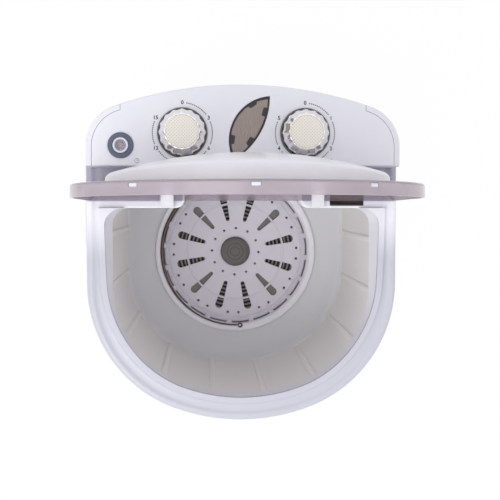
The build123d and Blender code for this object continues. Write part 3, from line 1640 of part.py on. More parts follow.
spin_basket.part.label = "spin_basket"
export_step(spin_basket.part, "parts/spin_basket.step")

with BuildPart() as hub_cap:
    with BuildSketch(level(basket_floor_height)):
        Circle(hub_cap_radius)
    extrude(amount=hub_cap_height)
    fillet(hub_cap.edges().group_by(Axis.Z)[-1], hub_cap_edge_radius)
hub_cap.part.label = "hub_cap"
export_step(hub_cap.part, "parts/hub_cap.step")

# Retaining wire: lies inside the lip, from the left round to the front, and ends in a loop
with BuildPart() as basket_wire:
    wire_ring = basket_top_radius + wire_ring_step
    wire_height = basket_lip_height + wire_radius + press_gap
    with BuildLine(level(wire_height)) as wire_path:
        CenterArc((0, 0), wire_ring, wire_start, wire_sweep)
        loop_start = on_circle(0, 0, wire_ring, wire_start + wire_sweep)
        loop_end = (loop_start[0] + wire_loop_reach, loop_start[1] - wire_loop_reach)
        RadiusArc(loop_start, loop_end, wire_loop_radius)
    with BuildSketch(Plane(wire_path.line @ 0, z_dir=wire_path.line % 0)):
        Circle(wire_radius)
    sweep(path=wire_path.line)
basket_wire.part.label = "basket_wire"
export_step(basket_wire.part, "parts/basket_wire.step")
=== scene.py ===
import bpy
import bmesh
import json
from math import acos, atan2, cos, degrees, pi, radians, sin, sqrt
from mathutils import Matrix, Vector

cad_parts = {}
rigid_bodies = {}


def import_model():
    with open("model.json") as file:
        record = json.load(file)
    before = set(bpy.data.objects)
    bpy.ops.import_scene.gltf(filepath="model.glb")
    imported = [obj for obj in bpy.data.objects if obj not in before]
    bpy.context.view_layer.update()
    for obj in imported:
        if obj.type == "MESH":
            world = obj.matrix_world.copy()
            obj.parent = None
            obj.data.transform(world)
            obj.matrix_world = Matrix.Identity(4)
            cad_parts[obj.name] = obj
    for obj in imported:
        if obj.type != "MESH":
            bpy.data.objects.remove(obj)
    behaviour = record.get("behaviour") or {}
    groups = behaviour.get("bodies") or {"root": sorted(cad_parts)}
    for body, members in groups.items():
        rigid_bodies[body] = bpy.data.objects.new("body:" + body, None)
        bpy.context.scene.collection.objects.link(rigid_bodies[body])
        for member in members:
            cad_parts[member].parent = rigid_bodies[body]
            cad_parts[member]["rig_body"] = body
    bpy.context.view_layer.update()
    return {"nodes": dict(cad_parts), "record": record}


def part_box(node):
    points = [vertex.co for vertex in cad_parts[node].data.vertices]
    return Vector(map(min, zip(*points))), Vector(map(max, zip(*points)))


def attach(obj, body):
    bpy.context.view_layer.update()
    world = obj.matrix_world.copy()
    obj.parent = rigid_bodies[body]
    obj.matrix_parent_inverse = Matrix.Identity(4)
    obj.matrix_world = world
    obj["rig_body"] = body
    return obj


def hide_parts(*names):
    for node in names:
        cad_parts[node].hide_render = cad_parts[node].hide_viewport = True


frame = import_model()
print("frame loaded:", len(frame["nodes"]), "nodes")

tubY = -21.0                                   # the tub axis in the row's frame, mm

# places and outlines, all in mm and measured from the tub axis

def at(x, y, z):
    return Vector((x, y + tubY, z)) / 1000

def span(node):
    low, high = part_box(node)
    return low * 1000 - Vector((0, tubY, 0)), high * 1000 - Vector((0, tubY, 0))

cabinetLow, cabinetHigh = span("cabinet")
headLow, headHigh = span("control_head")
deckTop = headLow.z - 0.2                      # the head stands just clear of the deck
shellTop = cabinetHigh.z
headTop = headHigh.z
halfWidth = cabinetHigh.x
hinge = dict(y=88.0, z=deckTop + 18.0, up=17.5, open=radians(91.0))      # up: above the closed lid's rim
controls = dict(knobX=65.0, knobY=142.0, inletX=-130.0, inletY=128.7)

def lidAt(x, y, z):                            # a point of the closed lid, z above its rim, swung open
    across = y - hinge["y"]
    up = deckTop + 0.5 + z - hinge["z"]
    c, s = cos(hinge["open"]), sin(hinge["open"])
    return at(x, hinge["y"] + across * c + up * s, hinge["z"] - across * s + up * c)

def arcRun(cx, cy, radius, start, end, count):
    turns = [radians(start + (end - start) * i / count) for i in range(count + 1)]
    return [(cx + radius * cos(t), cy + radius * sin(t)) for t in turns]

def lineRun(start, end, count):
    return [(start[0] + (end[0] - start[0]) * i / count, start[1] + (end[1] - start[1]) * i / count)
            for i in range(1, count)]

def bothSides(half):                           # half runs from the front middle round the right to the back
    return half + [(-x, y) for x, y in reversed(half) if abs(x) > 1e-6]

plan = dict(frontCentre=38.46, frontRadius=215.0, blend=20.7, cornerX=23.0, cornerY=-22.4,
            cornerRadius=150.0, backX=121.0, backY=127.1, backRadius=52.0, backBlend=71.3,
            rearCentre=-231.0, rearRadius=430.0)

def frontHalf(inset, fine=1):
    p = plan
    front = arcRun(0, p["frontCentre"], p["frontRadius"] - inset, -90, -90 + p["blend"], 10 * fine)
    corner = arcRun(p["cornerX"], p["cornerY"], p["cornerRadius"] - inset, -90 + p["blend"], 0, 26 * fine)
    return front + corner[1:]

def backCorner(inset, count=16):
    p = plan
    return arcRun(p["backX"], p["backY"], p["backRadius"] - inset, 0, p["backBlend"], count)

def rearArc(inset, end=90, count=14):          # without its first point, which the corner already has
    p = plan
    return arcRun(0, p["rearCentre"], p["rearRadius"] - inset, p["backBlend"], end, count)[1:]

def bodyOutline(inset, fine=1, side=6, turn=16, rear=14):
    half = frontHalf(inset, fine)
    corner = backCorner(inset, turn)
    half += lineRun(half[-1], corner[0], side) + corner + rearArc(inset, 90, rear)
    return bothSides(half)

def squareBack(inset, back, corner, fine=1):   # the body's front with a straight back, as tub and lid have
    half = frontHalf(inset, fine)
    side = half[-1][0]
    turn = arcRun(side - corner, back - corner, corner, 0, 90, 16 * fine)
    half += lineRun(half[-1], turn[0], 8) + turn
    half += lineRun(turn[-1], (0, back), 8) + [(0, back)]
    return bothSides(half)

def tubOutline(inset):
    return squareBack(inset, 152.0 - inset, 102.0 - inset, 2)

def flared(points, share=1.0):                 # the mouth opens a little wider towards the ledge
    opened = []
    for x, y in points:
        t = min(1.0, max(0.0, (y + 130.0) / 185.0))
        side = min(1.0, max(0.0, (abs(x) - 90.0) / 56.0))
        extra = 6.3 * share * t * t * (3 - 2 * t) * side
        opened.append((x + (extra if x > 0 else -extra), y))
    return opened

def mouthOutline(inset, flare=1.0):
    grow = 27.0 - inset
    ledge, wide = 62.4 + grow, 64.0 + grow
    half = frontHalf(inset)
    turn = arcRun(126.5, 42.9, 19.5 + grow, 0, 90, 12)
    notch = arcRun(wide + 10, ledge + 10, 10.0, -90, -180, 8)
    half += lineRun(half[-1], turn[0], 6) + turn
    half += lineRun(turn[-1], notch[0], 5) + notch
    half += [(wide, 91.0 + grow), (wide - 0.3, 91.7 + grow), (wide - 1.0, 92.0 + grow), (0, 92.0 + grow)]
    return flared(bothSides(half), flare)

def ledgeOutline(inset):                       # the raised lip ends square at the ledge
    half = frontHalf(inset)
    half += lineRun(half[-1], (half[-1][0], 62.0), 8)
    half += [(half[-1][0], 62.0), (half[-1][0], 62.4), (half[-1][0] - 0.4, 62.4), (0, 62.4)]
    return flared(bothSides(half))

def headOutline(inset):
    front = 101.0 + inset
    side = halfWidth - inset
    half = [(0, front)] + lineRun((0, front), (side, front), 8) + [(side, front)]
    corner = backCorner(inset)
    half += lineRun(half[-1], corner[0], 3) + corner + rearArc(inset)
    return bothSides(half)

def panelOutline(grow):
    inset, wide = 12.5 - grow, 130.0 + grow
    side = halfWidth - inset
    turn = degrees(acos(wide / (plan["rearRadius"] - inset)))
    half = [(0, 95.0), (side, 95.0)] + backCorner(inset, 14) + rearArc(inset, turn, 3)
    half += [(wide, 215.0), (0, 215.0)]
    return bothSides(half)

def threePointArc(start, middle, end, count):
    (ax, ay), (bx, by), (cx, cy) = start, middle, end
    d = 2 * (ax * (by - cy) + bx * (cy - ay) + cx * (ay - by))
    a, b, c = ax * ax + ay * ay, bx * bx + by * by, cx * cx + cy * cy
    ux = (a * (by - cy) + b * (cy - ay) + c * (ay - by)) / d
    uy = (a * (cx - bx) + b * (ax - cx) + c * (bx - ax)) / d
    turns = [degrees(atan2(y - uy, x - ux)) for x, y in (start, middle, end)]
    sweep = (turns[2] - turns[0]) % 360
    if (turns[1] - turns[0]) % 360 > sweep:
        sweep -= 360
    return arcRun(ux, uy, sqrt((ax - ux) ** 2 + (ay - uy) ** 2), turns[0], turns[0] + sweep, count)

def leafOutline(grow):
    tip, foot = Vector((27.6, 181.0)), Vector((-11.0, 113.0))
    along = (foot - tip).normalized()
    across = Vector((-along.y, along.x))
    middle = (tip + foot) / 2
    tip, foot = tip - along * grow * 1.6, foot + along * grow * 1.6
    left = threePointArc(tip, middle - across * (21.0 + grow), foot, 22)
    right = threePointArc(foot, middle + across * (10.4 + grow), tip, 22)
    return left[:-1] + right[:-1]

def roundedBox(x, y, length, width, corner, steps=5):
    points = []
    for sx, sy, turn in ((1, 1, 0), (-1, 1, 90), (-1, -1, 180), (1, -1, 270)):
        points += arcRun(x + sx * (length / 2 - corner), y + sy * (width / 2 - corner), corner,
                         turn, turn + 90, steps)
    return points

def circleOutline(x, y, radius, count=64):
    return arcRun(x, y, radius, 0, 360, count)[:-1]

def turnPoints(points, angle, x=0.0, y=0.0):
    c, s = cos(radians(angle)), sin(radians(angle))
    return [(x + px * c - py * s, y + px * s + py * c) for px, py in points]

# modelling helpers

def deselect():
    if bpy.context.object and bpy.context.object.mode != "OBJECT":
        bpy.ops.object.mode_set(mode="OBJECT")
    bpy.ops.object.select_all(action="DESELECT")

def activate(piece):
    deselect()
    piece.select_set(True)
    bpy.context.view_layer.objects.active = piece

def loft(name, rings, place=at, loop=False):
    # a circle is laid on the first ring's points, then extruded on from ring to ring
    deselect()
    bpy.ops.mesh.primitive_circle_add(vertices=len(rings[0]), radius=0.1, fill_type="NOTHING")
    piece = bpy.context.object
    piece.name = piece.data.name = name
    bpy.ops.object.mode_set(mode="EDIT")
    bm = bmesh.from_edit_mesh(piece.data)
    spot = bm.verts.layers.int.new("spot")
    for vert in bm.verts:
        vert[spot] = vert.index
        vert.co = place(*rings[0][vert.index])
    bmesh.update_edit_mesh(piece.data)
    for ring in rings[1:] + (rings[:1] if loop else []):
        bpy.ops.mesh.extrude_edges_move()
        bm = bmesh.from_edit_mesh(piece.data)
        spot = bm.verts.layers.int["spot"]
        for vert in bm.verts:
            if vert.select:
                vert.co = place(*ring[vert[spot]])
        bmesh.update_edit_mesh(piece.data)
    bpy.ops.mesh.select_all(action="SELECT")
    if loop:
        bpy.ops.mesh.remove_doubles(threshold=0.000001)
    else:
        bpy.ops.mesh.fill_holes(sides=0)
        bpy.ops.mesh.select_all(action="SELECT")
    bpy.ops.mesh.normals_make_consistent(inside=False)
    bpy.ops.object.mode_set(mode="OBJECT")
    piece.data.attributes.remove(piece.data.attributes["spot"])
    piece.matrix_world = Matrix()
    return piece

def level(outline, z):
    return [(x, y, z) for x, y in outline]

def prism(name, outline, low, high, place=at):
    return loft(name, [level(outline, low), level(outline, high)], place)

def roundTop(outline, inset, top, radius, steps=5):     # rings over a rounded top edge
    turns = [radians(90 * i / steps) for i in range(steps + 1)]
    return [level(outline(inset + radius * (1 - cos(t))), top - radius * (1 - sin(t))) for t in turns]

def turned(name, profile, x=0.0, y=0.0, count=96, loop=False, flutes=None):
    rings = []
    for radius, z in profile:
        ring = []
        for i in range(count):
            a = 2 * pi * i / count
            r = radius * (flutes(a, radius, z) if flutes else 1)
            ring.append((x + r * cos(a), y + r * sin(a), z))
        rings.append(ring)
    return loft(name, rings, at, loop)

def join(pieces, name):
    activate(pieces[0])
    for piece in pieces[1:]:
        piece.select_set(True)
    if len(pieces) > 1:
        bpy.ops.object.join()
    whole = bpy.context.object
    whole.name = whole.data.name = name
    return whole

def combine(piece, tools, operation="DIFFERENCE"):
    tool = join(tools, "tool") if isinstance(tools, list) else tools
    activate(piece)
    step = piece.modifiers.new("shape", "BOOLEAN")
    step.operation = operation
    step.solver = "EXACT"
    step.object = tool
    bpy.ops.object.modifier_apply(modifier=step.name)
    bpy.data.objects.remove(tool, do_unlink=True)
    return piece

def weld(piece, distance, outward=False):      # merges doubled points
    activate(piece)
    bpy.ops.object.mode_set(mode="EDIT")
    bpy.ops.mesh.select_all(action="SELECT")
    bpy.ops.mesh.remove_doubles(threshold=distance)
    if outward:
        bpy.ops.mesh.normals_make_consistent(inside=False)
    bpy.ops.object.mode_set(mode="OBJECT")

def soften(piece, width, angle=45, segments=2):          # breaks the sharp edges
    activate(piece)
    step = piece.modifiers.new("edge", "BEVEL")
    step.width = width / 1000
    step.segments = segments
    step.limit_method = "ANGLE"
    step.angle_limit = radians(angle)
    step.use_clamp_overlap = True
    bpy.ops.object.modifier_apply(modifier=step.name)
    return piece

def finish(piece, material, body, nodes=(), smooth=35, weighted=True):
    activate(piece)
    piece.data.materials.clear()
    piece.data.materials.append(material)
    bpy.ops.object.shade_smooth_by_angle(angle=radians(smooth))
    if weighted:
        step = piece.modifiers.new("normals", "WEIGHTED_NORMAL")
        step.keep_sharp = True
        bpy.ops.object.modifier_apply(modifier=step.name)
    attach(piece, body)
    if nodes:
        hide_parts(*nodes)
    return piece

# materials

def colour(text):                              # sRGB hex to linear
    parts = [int(text[i:i + 2], 16) / 255 for i in (0, 2, 4)]
    return tuple(c / 12.92 if c <= 0.04045 else ((c + 0.055) / 1.055) ** 2.4 for c in parts) + (1.0,)

def addNode(tree, kind, settings=None, links=None, **values):
    node = tree.nodes.new(kind)
    for key, value in (settings or {}).items():
        setattr(node, key, value)
    for key, value in values.items():
        node.inputs[key.replace("_", " ")].default_value = value
    for key, source in (links or {}).items():
        tree.links.new(source, node.inputs[key])
    return node

def newFinish(name, **values):
    material = bpy.data.materials.new(name)
    material.use_nodes = True
    tree = material.node_tree
    shader = tree.nodes["Principled BSDF"]
    for key, value in values.items():
        shader.inputs[key.replace("_", " ")].default_value = value
    where = addNode(tree, "ShaderNodeTexCoord").outputs["Object"]
    return material, tree, shader, where

def patterned(tree, shader, hexLow, hexHigh, cloud, fine, smooth, rough, relief=None):
    # a broad pattern moves the tone, a fine one the sheen and, where asked, the relief of a surface
    mix = addNode(tree, "ShaderNodeMix", {"data_type": "RGBA"}, {"Factor": cloud})
    mix.inputs["A"].default_value = colour(hexLow)
    mix.inputs["B"].default_value = colour(hexHigh)
    tree.links.new(mix.outputs["Result"], shader.inputs["Base Color"])
    sheen = addNode(tree, "ShaderNodeMapRange", links={"Value": fine}, To_Min=smooth, To_Max=rough)
    tree.links.new(sheen.outputs["Result"], shader.inputs["Roughness"])
    if relief:
        strength, depth, inward = relief
        bump = addNode(tree, "ShaderNodeBump", {"invert": inward}, {"Height": fine}, Strength=strength,
                       Distance=depth)
        tree.links.new(bump.outputs["Normal"], shader.inputs["Normal"])

def moulded(name, hexLow, hexHigh, rough=0.38, grain=0.5, height=0.02, clouds=40.0, spread=0.08, **values):
    # injection-moulded plastic: faint flow clouds, a fine spark-eroded grain, a soft sheen
    material, tree, shader, where = newFinish(name, **values)
    cloud = addNode(tree, "ShaderNodeTexNoise", links={"Vector": where}, Scale=1000 / clouds, Detail=3.0)
    fine = addNode(tree, "ShaderNodeTexNoise", links={"Vector": where}, Scale=1000 / grain, Detail=2.0)
    patterned(tree, shader, hexLow, hexHigh, cloud.outputs["Fac"], fine.outputs["Fac"], rough - spread,
              rough + spread, (0.35, height / 1000, False))
    return material

def worked(name, hexLow, hexHigh, rough=0.3, pitch=0.4, stretch=(1, 1, 30), **values):
    # cut or drawn metal: fine lines along the way it was worked, a little tone change
    material, tree, shader, where = newFinish(name, Metallic=1.0, **values)
    scaled = addNode(tree, "ShaderNodeMapping", links={"Vector": where})
    scaled.inputs["Scale"].default_value = [1000 / (pitch * s) for s in stretch]
    lines = addNode(tree, "ShaderNodeTexNoise", links={"Vector": scaled.outputs["Vector"]},
                    Scale=1.0, Detail=2.0).outputs["Fac"]
    patterned(tree, shader, hexLow, hexHigh, lines, lines, rough - 0.07, rough + 0.1, (0.2, 0.00002, False))
    return material

def tinted(material, axis, start, end, tone, beyond=True):     # fades to another tone along one axis, mm
    tree = material.node_tree
    shader = tree.nodes["Principled BSDF"]
    base = shader.inputs["Base Color"].links[0].from_socket
    where = addNode(tree, "ShaderNodeTexCoord").outputs["Object"]
    parts = addNode(tree, "ShaderNodeSeparateXYZ", links={"Vector": where})
    share = addNode(tree, "ShaderNodeMapRange", {"interpolation_type": "SMOOTHSTEP"},
                    {"Value": parts.outputs[axis]}, From_Min=start / 1000, From_Max=end / 1000)
    mix = addNode(tree, "ShaderNodeMix", {"data_type": "RGBA"}, {"Factor": share.outputs["Result"]})
    mix.inputs["B" if beyond else "A"].default_value = colour(tone)
    tree.links.new(base, mix.inputs["A" if beyond else "B"])
    tree.links.new(mix.outputs["Result"], shader.inputs["Base Color"])
    return material

# ABS shell and trim, moulded satin: cool white with a faint lilac tone, glossier on the lid's cap
shellAbs = moulded("shell ABS satin", "d2d2da", "d8d8e0", 0.36, IOR=1.54)
trimAbs = moulded("trim ABS satin", "d6d6e1", "dcdce6", 0.33, IOR=1.54)
# the head's white is a little lighter than the trim's, painted light on the panel
headAbs = moulded("head ABS satin", "dedee5", "e4e4ea", 0.35, IOR=1.54)
curtainAbs = moulded("curtain ABS satin", "efeff5", "f4f4f9", 0.36, IOR=1.54)
domeAbs = moulded("lid cap ABS gloss", "e3e2e7", "e7e6ea", 0.26, IOR=1.54)
# collar: the trim's plastic with painted light and shade: lighter than the trim on the deck by the ledge, greyer
# along the front and on the outer wall, and a painted shadow behind the lid
collarAbs = moulded("collar ABS satin", "e6e6ee", "ebebf2", 0.33, IOR=1.54)
# painted shade: greyer towards the front
tinted(collarAbs, "Y", -21.0, 35.0, "bfbfc9", False)
# painted shadow behind the lid, where the open lid shades the ledge
tinted(collarAbs, "Y", 47.5, 50.5, "a3a2b1")
# painted shade on the outer wall below the deck's edge
tinted(collarAbs, "Z", deckTop - 5.0, deckTop - 1.5, "d5d5dd", False)
# polypropylene tub: warm, waxy and matt on the wall, its white made very light as painted light, and toned darker
# and cooler on the floor as painted shade
tubPp = moulded("tub polypropylene", "f6f3f0", "f9f6f3", 0.48, 0.8, 0.03, 60.0, IOR=1.49)
# painted shade: darker and cooler on the floor
tinted(tubPp, "Z", 187.5, 193.0, "dfe0e4", False)
# polypropylene basket: violet grey, satin, with painted light on its lip
basketPp = moulded("basket polypropylene", "dedbe5", "e3e0e9", 0.42, 0.7, 0.02, IOR=1.49)
# painted light: brighter on the lip
tinted(basketPp, "Z", 187.8, 189.0, "f4f2fa")
darkPp = moulded("dark polypropylene", "7a6f69", "867a73", 0.45, 0.7, 0.02, IOR=1.49)
# pulsator: the same dark plastic, with painted shade, near black, down in its grooves
pulsatorPp = moulded("pulsator dark polypropylene", "85807a", "8f8a83", 0.45, 0.7, 0.02, IOR=1.49)
# painted shade in the grooves
tinted(pulsatorPp, "Z", span("pulsator")[1].z - 1.8, span("pulsator")[1].z - 0.8, "1f1b19", False)
# nylon, ring and bezel are dark and satin, the rubber is matt and the bezel has a thin metal sheen
blackNylon = moulded("black nylon", "1c1a1c", "252326", 0.42, IOR=1.53)
ringAbs = moulded("inlet ring ABS", "4a5468", "535d72", 0.4, IOR=1.54)
rubberFeet = moulded("moulded rubber", "2a292b", "353436", 0.75, 0.9, 0.04, IOR=1.52)
bezelAbs = moulded("bezel plated ABS", "5c5655", "6a6463", 0.28, IOR=1.54, Metallic=0.35)
greyAlloy = moulded("die-cast housing", "8d8f93", "9b9da1", 0.5, 1.0, 0.05, Metallic=0.6)
# metals: brown bronze, oiled wire, a bright ground shaft, patchy zinc, dull castings, lacquered copper
bronzeBush = worked("sintered bronze", "9b6a3a", "b07c48", 0.42)
wireSteel = worked("oiled spring wire", "4a3f3a", "6a5c55", 0.34, 0.8, (1, 1, 1))
steelShaft = worked("ground steel", "a9abae", "b9bbbe", 0.22, 0.25)
zincPlate = worked("zinc plate", "a5a8ac", "c0c3c6", 0.36, 2.5, (1, 1, 1))
castAluminium = worked("cast aluminium", "a2a4a6", "b4b6b8", 0.45, 1.2, (1, 1, 1))
copperWinding = worked("enamelled copper wire", "8f4a22", "b5662f", 0.3, 0.6, (8, 8, 1))
canAluminium = worked("drawn aluminium can", "c2c4c6", "d0d2d4", 0.3, 0.3)
# small prints and caps: soft greys, the ink nearly black
capAbs = moulded("hub cap ABS", "56504e", "605a57", 0.36, IOR=1.54)
strainerPp = moulded("strainer polypropylene", "c3babf", "ccc3c8", 0.5, 0.6, 0.02, IOR=1.49)
printInk = moulded("screen print ink", "22222c", "2c2c36", 0.5, IOR=1.5)

finishes = {
    "white_shell": shellAbs, "white_trim": trimAbs, "tub_liner": tubPp, "basket": basketPp,
    "dark_plastic": darkPp, "black_plastic": blackNylon, "blue_grey": ringAbs, "rubber_dark": rubberFeet,
    "steel": steelShaft, "zinc": zincPlate, "grey_housing": greyAlloy, "aluminium": castAluminium,
    "copper": copperWinding, "capacitor_can": canAluminium, "bronze": bronzeBush,
}

def smokeLid():
    # smoke-tinted SAN lid: hazy where it is seen edge on, clearer in the thin wall by the hinge and a shade
    # darker there as painted shade of the gap under the open lid
    material, tree, shader, where = newFinish("smoke tinted SAN", IOR=1.57)
    haze = addNode(tree, "ShaderNodeTexNoise", links={"Vector": where}, Scale=25.0, Detail=3.0).outputs["Fac"]
    parts = addNode(tree, "ShaderNodeSeparateXYZ", links={"Vector": where})
    away = addNode(tree, "ShaderNodeMapRange", links={"Value": parts.outputs["Z"]},
                   From_Min=hinge["z"] / 1000 - 0.0005, From_Max=hinge["z"] / 1000 + 0.0015)
    patterned(tree, shader, "d8ccd5", "e0d6dd", haze, haze, 0.08, 0.16)
    edgeOn = shader.inputs["Base Color"].links[0].from_socket
    # painted shade: a darker tone near the hinge
    mix = addNode(tree, "ShaderNodeMix", {"data_type": "RGBA"}, {"Factor": away.outputs["Result"]})
    mix.inputs["A"].default_value = colour("d6cbd4")
    tree.links.new(edgeOn, mix.inputs["B"])
    tree.links.new(mix.outputs["Result"], shader.inputs["Base Color"])
    clear = addNode(tree, "ShaderNodeMapRange", links={"Value": away.outputs["Result"]},
                    To_Min=0.93, To_Max=0.66)
    tree.links.new(clear.outputs["Result"], shader.inputs["Transmission Weight"])
    return material

def smokeWindow():
    # smoke window: brown grey, with faint draw lines up and down its length
    material, tree, shader, where = newFinish("smoke window PC", IOR=1.58, Transmission_Weight=0.4)
    scaled = addNode(tree, "ShaderNodeMapping", links={"Vector": where})
    scaled.inputs["Scale"].default_value = (320, 20, 20)
    lines = addNode(tree, "ShaderNodeTexNoise", links={"Vector": scaled.outputs["Vector"]},
                    Scale=1.0, Detail=2.0).outputs["Fac"]
    patterned(tree, shader, "ad9c93", "b8a79e", lines, lines, 0.2, 0.34)
    return material

def chromeCrown():
    # plated ABS crown: bright, with faint polishing marks
    material, tree, shader, where = newFinish("chrome plated ABS", Metallic=1.0)
    marks = addNode(tree, "ShaderNodeTexNoise", links={"Vector": where}, Scale=300.0, Detail=3.0)
    marks = marks.outputs["Fac"]
    patterned(tree, shader, "f1efec", "faf8f5", marks, marks, 0.08, 0.16)
    return material

def pearlInsert():
    # pearl plate pressed with dimples on a 3.4 mm grid, 2.4 mm apart along its diagonals, the dimples toned
    # darker as painted shade
    grid = 0.0034
    material, tree, shader, where = newFinish("pearl PMMA plate", IOR=1.49, Coat_Weight=0.3)
    parts = addNode(tree, "ShaderNodeSeparateXYZ", links={"Vector": where})
    waves = []
    for axis in ("X", "Y"):
        stretch = addNode(tree, "ShaderNodeMath", {"operation": "MULTIPLY"}, {0: parts.outputs[axis]})
        stretch.inputs[1].default_value = 2 * pi / grid
        waves.append(addNode(tree, "ShaderNodeMath", {"operation": "SINE"}, {0: stretch.outputs[0]}))
    both = addNode(tree, "ShaderNodeMath", {"operation": "MULTIPLY"},
                   {0: waves[0].outputs[0], 1: waves[1].outputs[0]})
    dents = addNode(tree, "ShaderNodeMapRange", links={"Value": both.outputs[0]}, From_Min=0.1,
                    From_Max=0.9).outputs["Result"]
    # painted shade: the dents darker and warmer
    patterned(tree, shader, "ece8de", "d4c6b1", dents, dents, 0.3, 0.42, (0.5, 0.00015, True))
    return material

finishes["smoke_clear"] = smokeLid()
finishes["smoke_window"] = smokeWindow()
finishes["chrome_trim"] = chromeCrown()
finishes["pearl"] = pearlInsert()
print("materials made:", len(finishes))

# cabinet

shell = dict(wall=2.5, low=20.0, gripY=48.0, gripZ=deckTop - 44.0, coverLow=66.0, coverHigh=deckTop - 44.0,
             coverHalf=86.0, fittingX=115.0, fittingZ=48.0)

def makeCabinet():
    s = shell
    outer = [level(bodyOutline(1.0), s["low"]), level(bodyOutline(0.3), s["low"] + 0.3),
             level(bodyOutline(0.0), s["low"] + 1.0)]
    outer += [level(bodyOutline(0.0), z) for z in (140.0, 280.0, shellTop - 0.4)]
    outer += [level(bodyOutline(0.4), shellTop)]
    inner = [level(bodyOutline(s["wall"]), z) for z in (shellTop, s["low"])]
    cabinet = loft("cabinet_shell", outer + inner, loop=True)
    side = lambda x, y, z: at(z, x, y)
    back = lambda x, y, z: at(x, z, y)
    tools = [prism("grips", roundedBox(s["gripY"], s["gripZ"], 58.0, 22.0, 8.0), -190.0, 190.0, side)]
    middle = (s["coverLow"] + s["coverHigh"]) / 2
    tools.append(prism("opening", roundedBox(0, middle, 152.0, s["coverHigh"] - s["coverLow"] - 20, 12.0),
                       150.0, 230.0, back))
    for name, x, radius in (("pipeHole", s["fittingX"], 11.3), ("glandHole", -s["fittingX"], 7.6)):
        tools.append(prism(name, circleOutline(x, s["fittingZ"], radius, 40), 150.0, 230.0, back))
    combine(cabinet, tools)
    finish(cabinet, shellAbs, "root", ["cabinet"], 30)

makeCabinet()
print("cabinet made")

# top collar

collar = dict(low=shellTop, edge=6.0, deck=3.0, mouth=27.0, skirt=2.0, skirtDepth=24.0, lipWidth=7.0, lip=4.0,
              slot=(97.5, 135.5, 64.8, 79.0))

def makeCollar():
    c = collar
    rings = [level(bodyOutline(0.35), c["low"]), level(bodyOutline(0.0), c["low"] + 0.35)]
    rings += [level(bodyOutline(0.0), c["low"] + 5)]
    rings += roundTop(bodyOutline, 0.0, deckTop, c["edge"], 7)
    valley = ((7.6, 0.15), (9.4, 0.9), (11.0, 1.3), (13.5, 1.35), (15.5, 1.0), (17.0, 0.4), (18.5, 0.0))
    for inset, drop in valley:                 # a shallow valley runs inside the shoulder
        rings.append(level(bodyOutline(inset), deckTop - drop))
    shellPart = loft("top_collar_shell", rings)
    combine(shellPart, prism("hollow", bodyOutline(c["deck"]), c["low"] - 5, deckTop - c["deck"]))
    left, right, near, far = c["slot"]
    tools = [prism("mouth", mouthOutline(c["mouth"] - c["skirt"]), deckTop - 10, deckTop + 10),
             prism("slot", roundedBox((left + right) / 2, (near + far) / 2, right - left, far - near, 1.5),
                   deckTop - 10, deckTop + 10),
             prism("inletHole", circleOutline(controls["inletX"], controls["inletY"], 10.3, 40),
                   deckTop - 10, deckTop + 10),
             prism("wiringHole", roundedBox(-10.0, 146.0, 200.0, 44.0, 8.0), deckTop - 10, deckTop + 10)]
    combine(shellPart, tools)
    # the curtain hangs round the mouth, with a rounded top edge
    low = deckTop - c["skirtDepth"]
    m, t = c["mouth"], c["skirt"]
    profile = [(m - t, deckTop, 1.0), (m - t, low, 0.0), (m - 0.3, low, 0.0), (m, low + 0.3, 0.0),
               (m, deckTop - 1.4, 1.0), (m - 0.16, deckTop - 0.6, 1.0), (m - 0.6, deckTop - 0.16, 1.0),
               (m - 1.2, deckTop, 1.0)]
    rings = [level(mouthOutline(inset, flare), z) for inset, z, flare in profile]
    curtain = loft("curtain", rings, loop=True)
    # the raised lip follows the front arcs and stops at the ledge
    rings = [level(ledgeOutline(m - c["lipWidth"]), deckTop - 1.5)]
    rings += roundTop(ledgeOutline, m - c["lipWidth"], deckTop + c["lip"], 1.8, 4)
    lip = loft("lip", rings)
    combine(lip, prism("mouth", mouthOutline(m), deckTop - 10, deckTop + 10))
    soften(lip, 1.0, 50, 3)
    finish(curtain, curtainAbs, "root", (), 32)
    whole = join([shellPart, lip], "top_collar_body")
    finish(whole, collarAbs, "root", ["top_collar"], 32)

makeCollar()
print("collar made")

# wash tub

tub = dict(inset=24.5, wall=2.5, floor=187.0, fillet=7.0, well=108.0, wellFloor=160.0, ribs=16, ribTurn=10.0,
           ribTop=410.0, ribWidth=7.4, ribDepth=2.3)

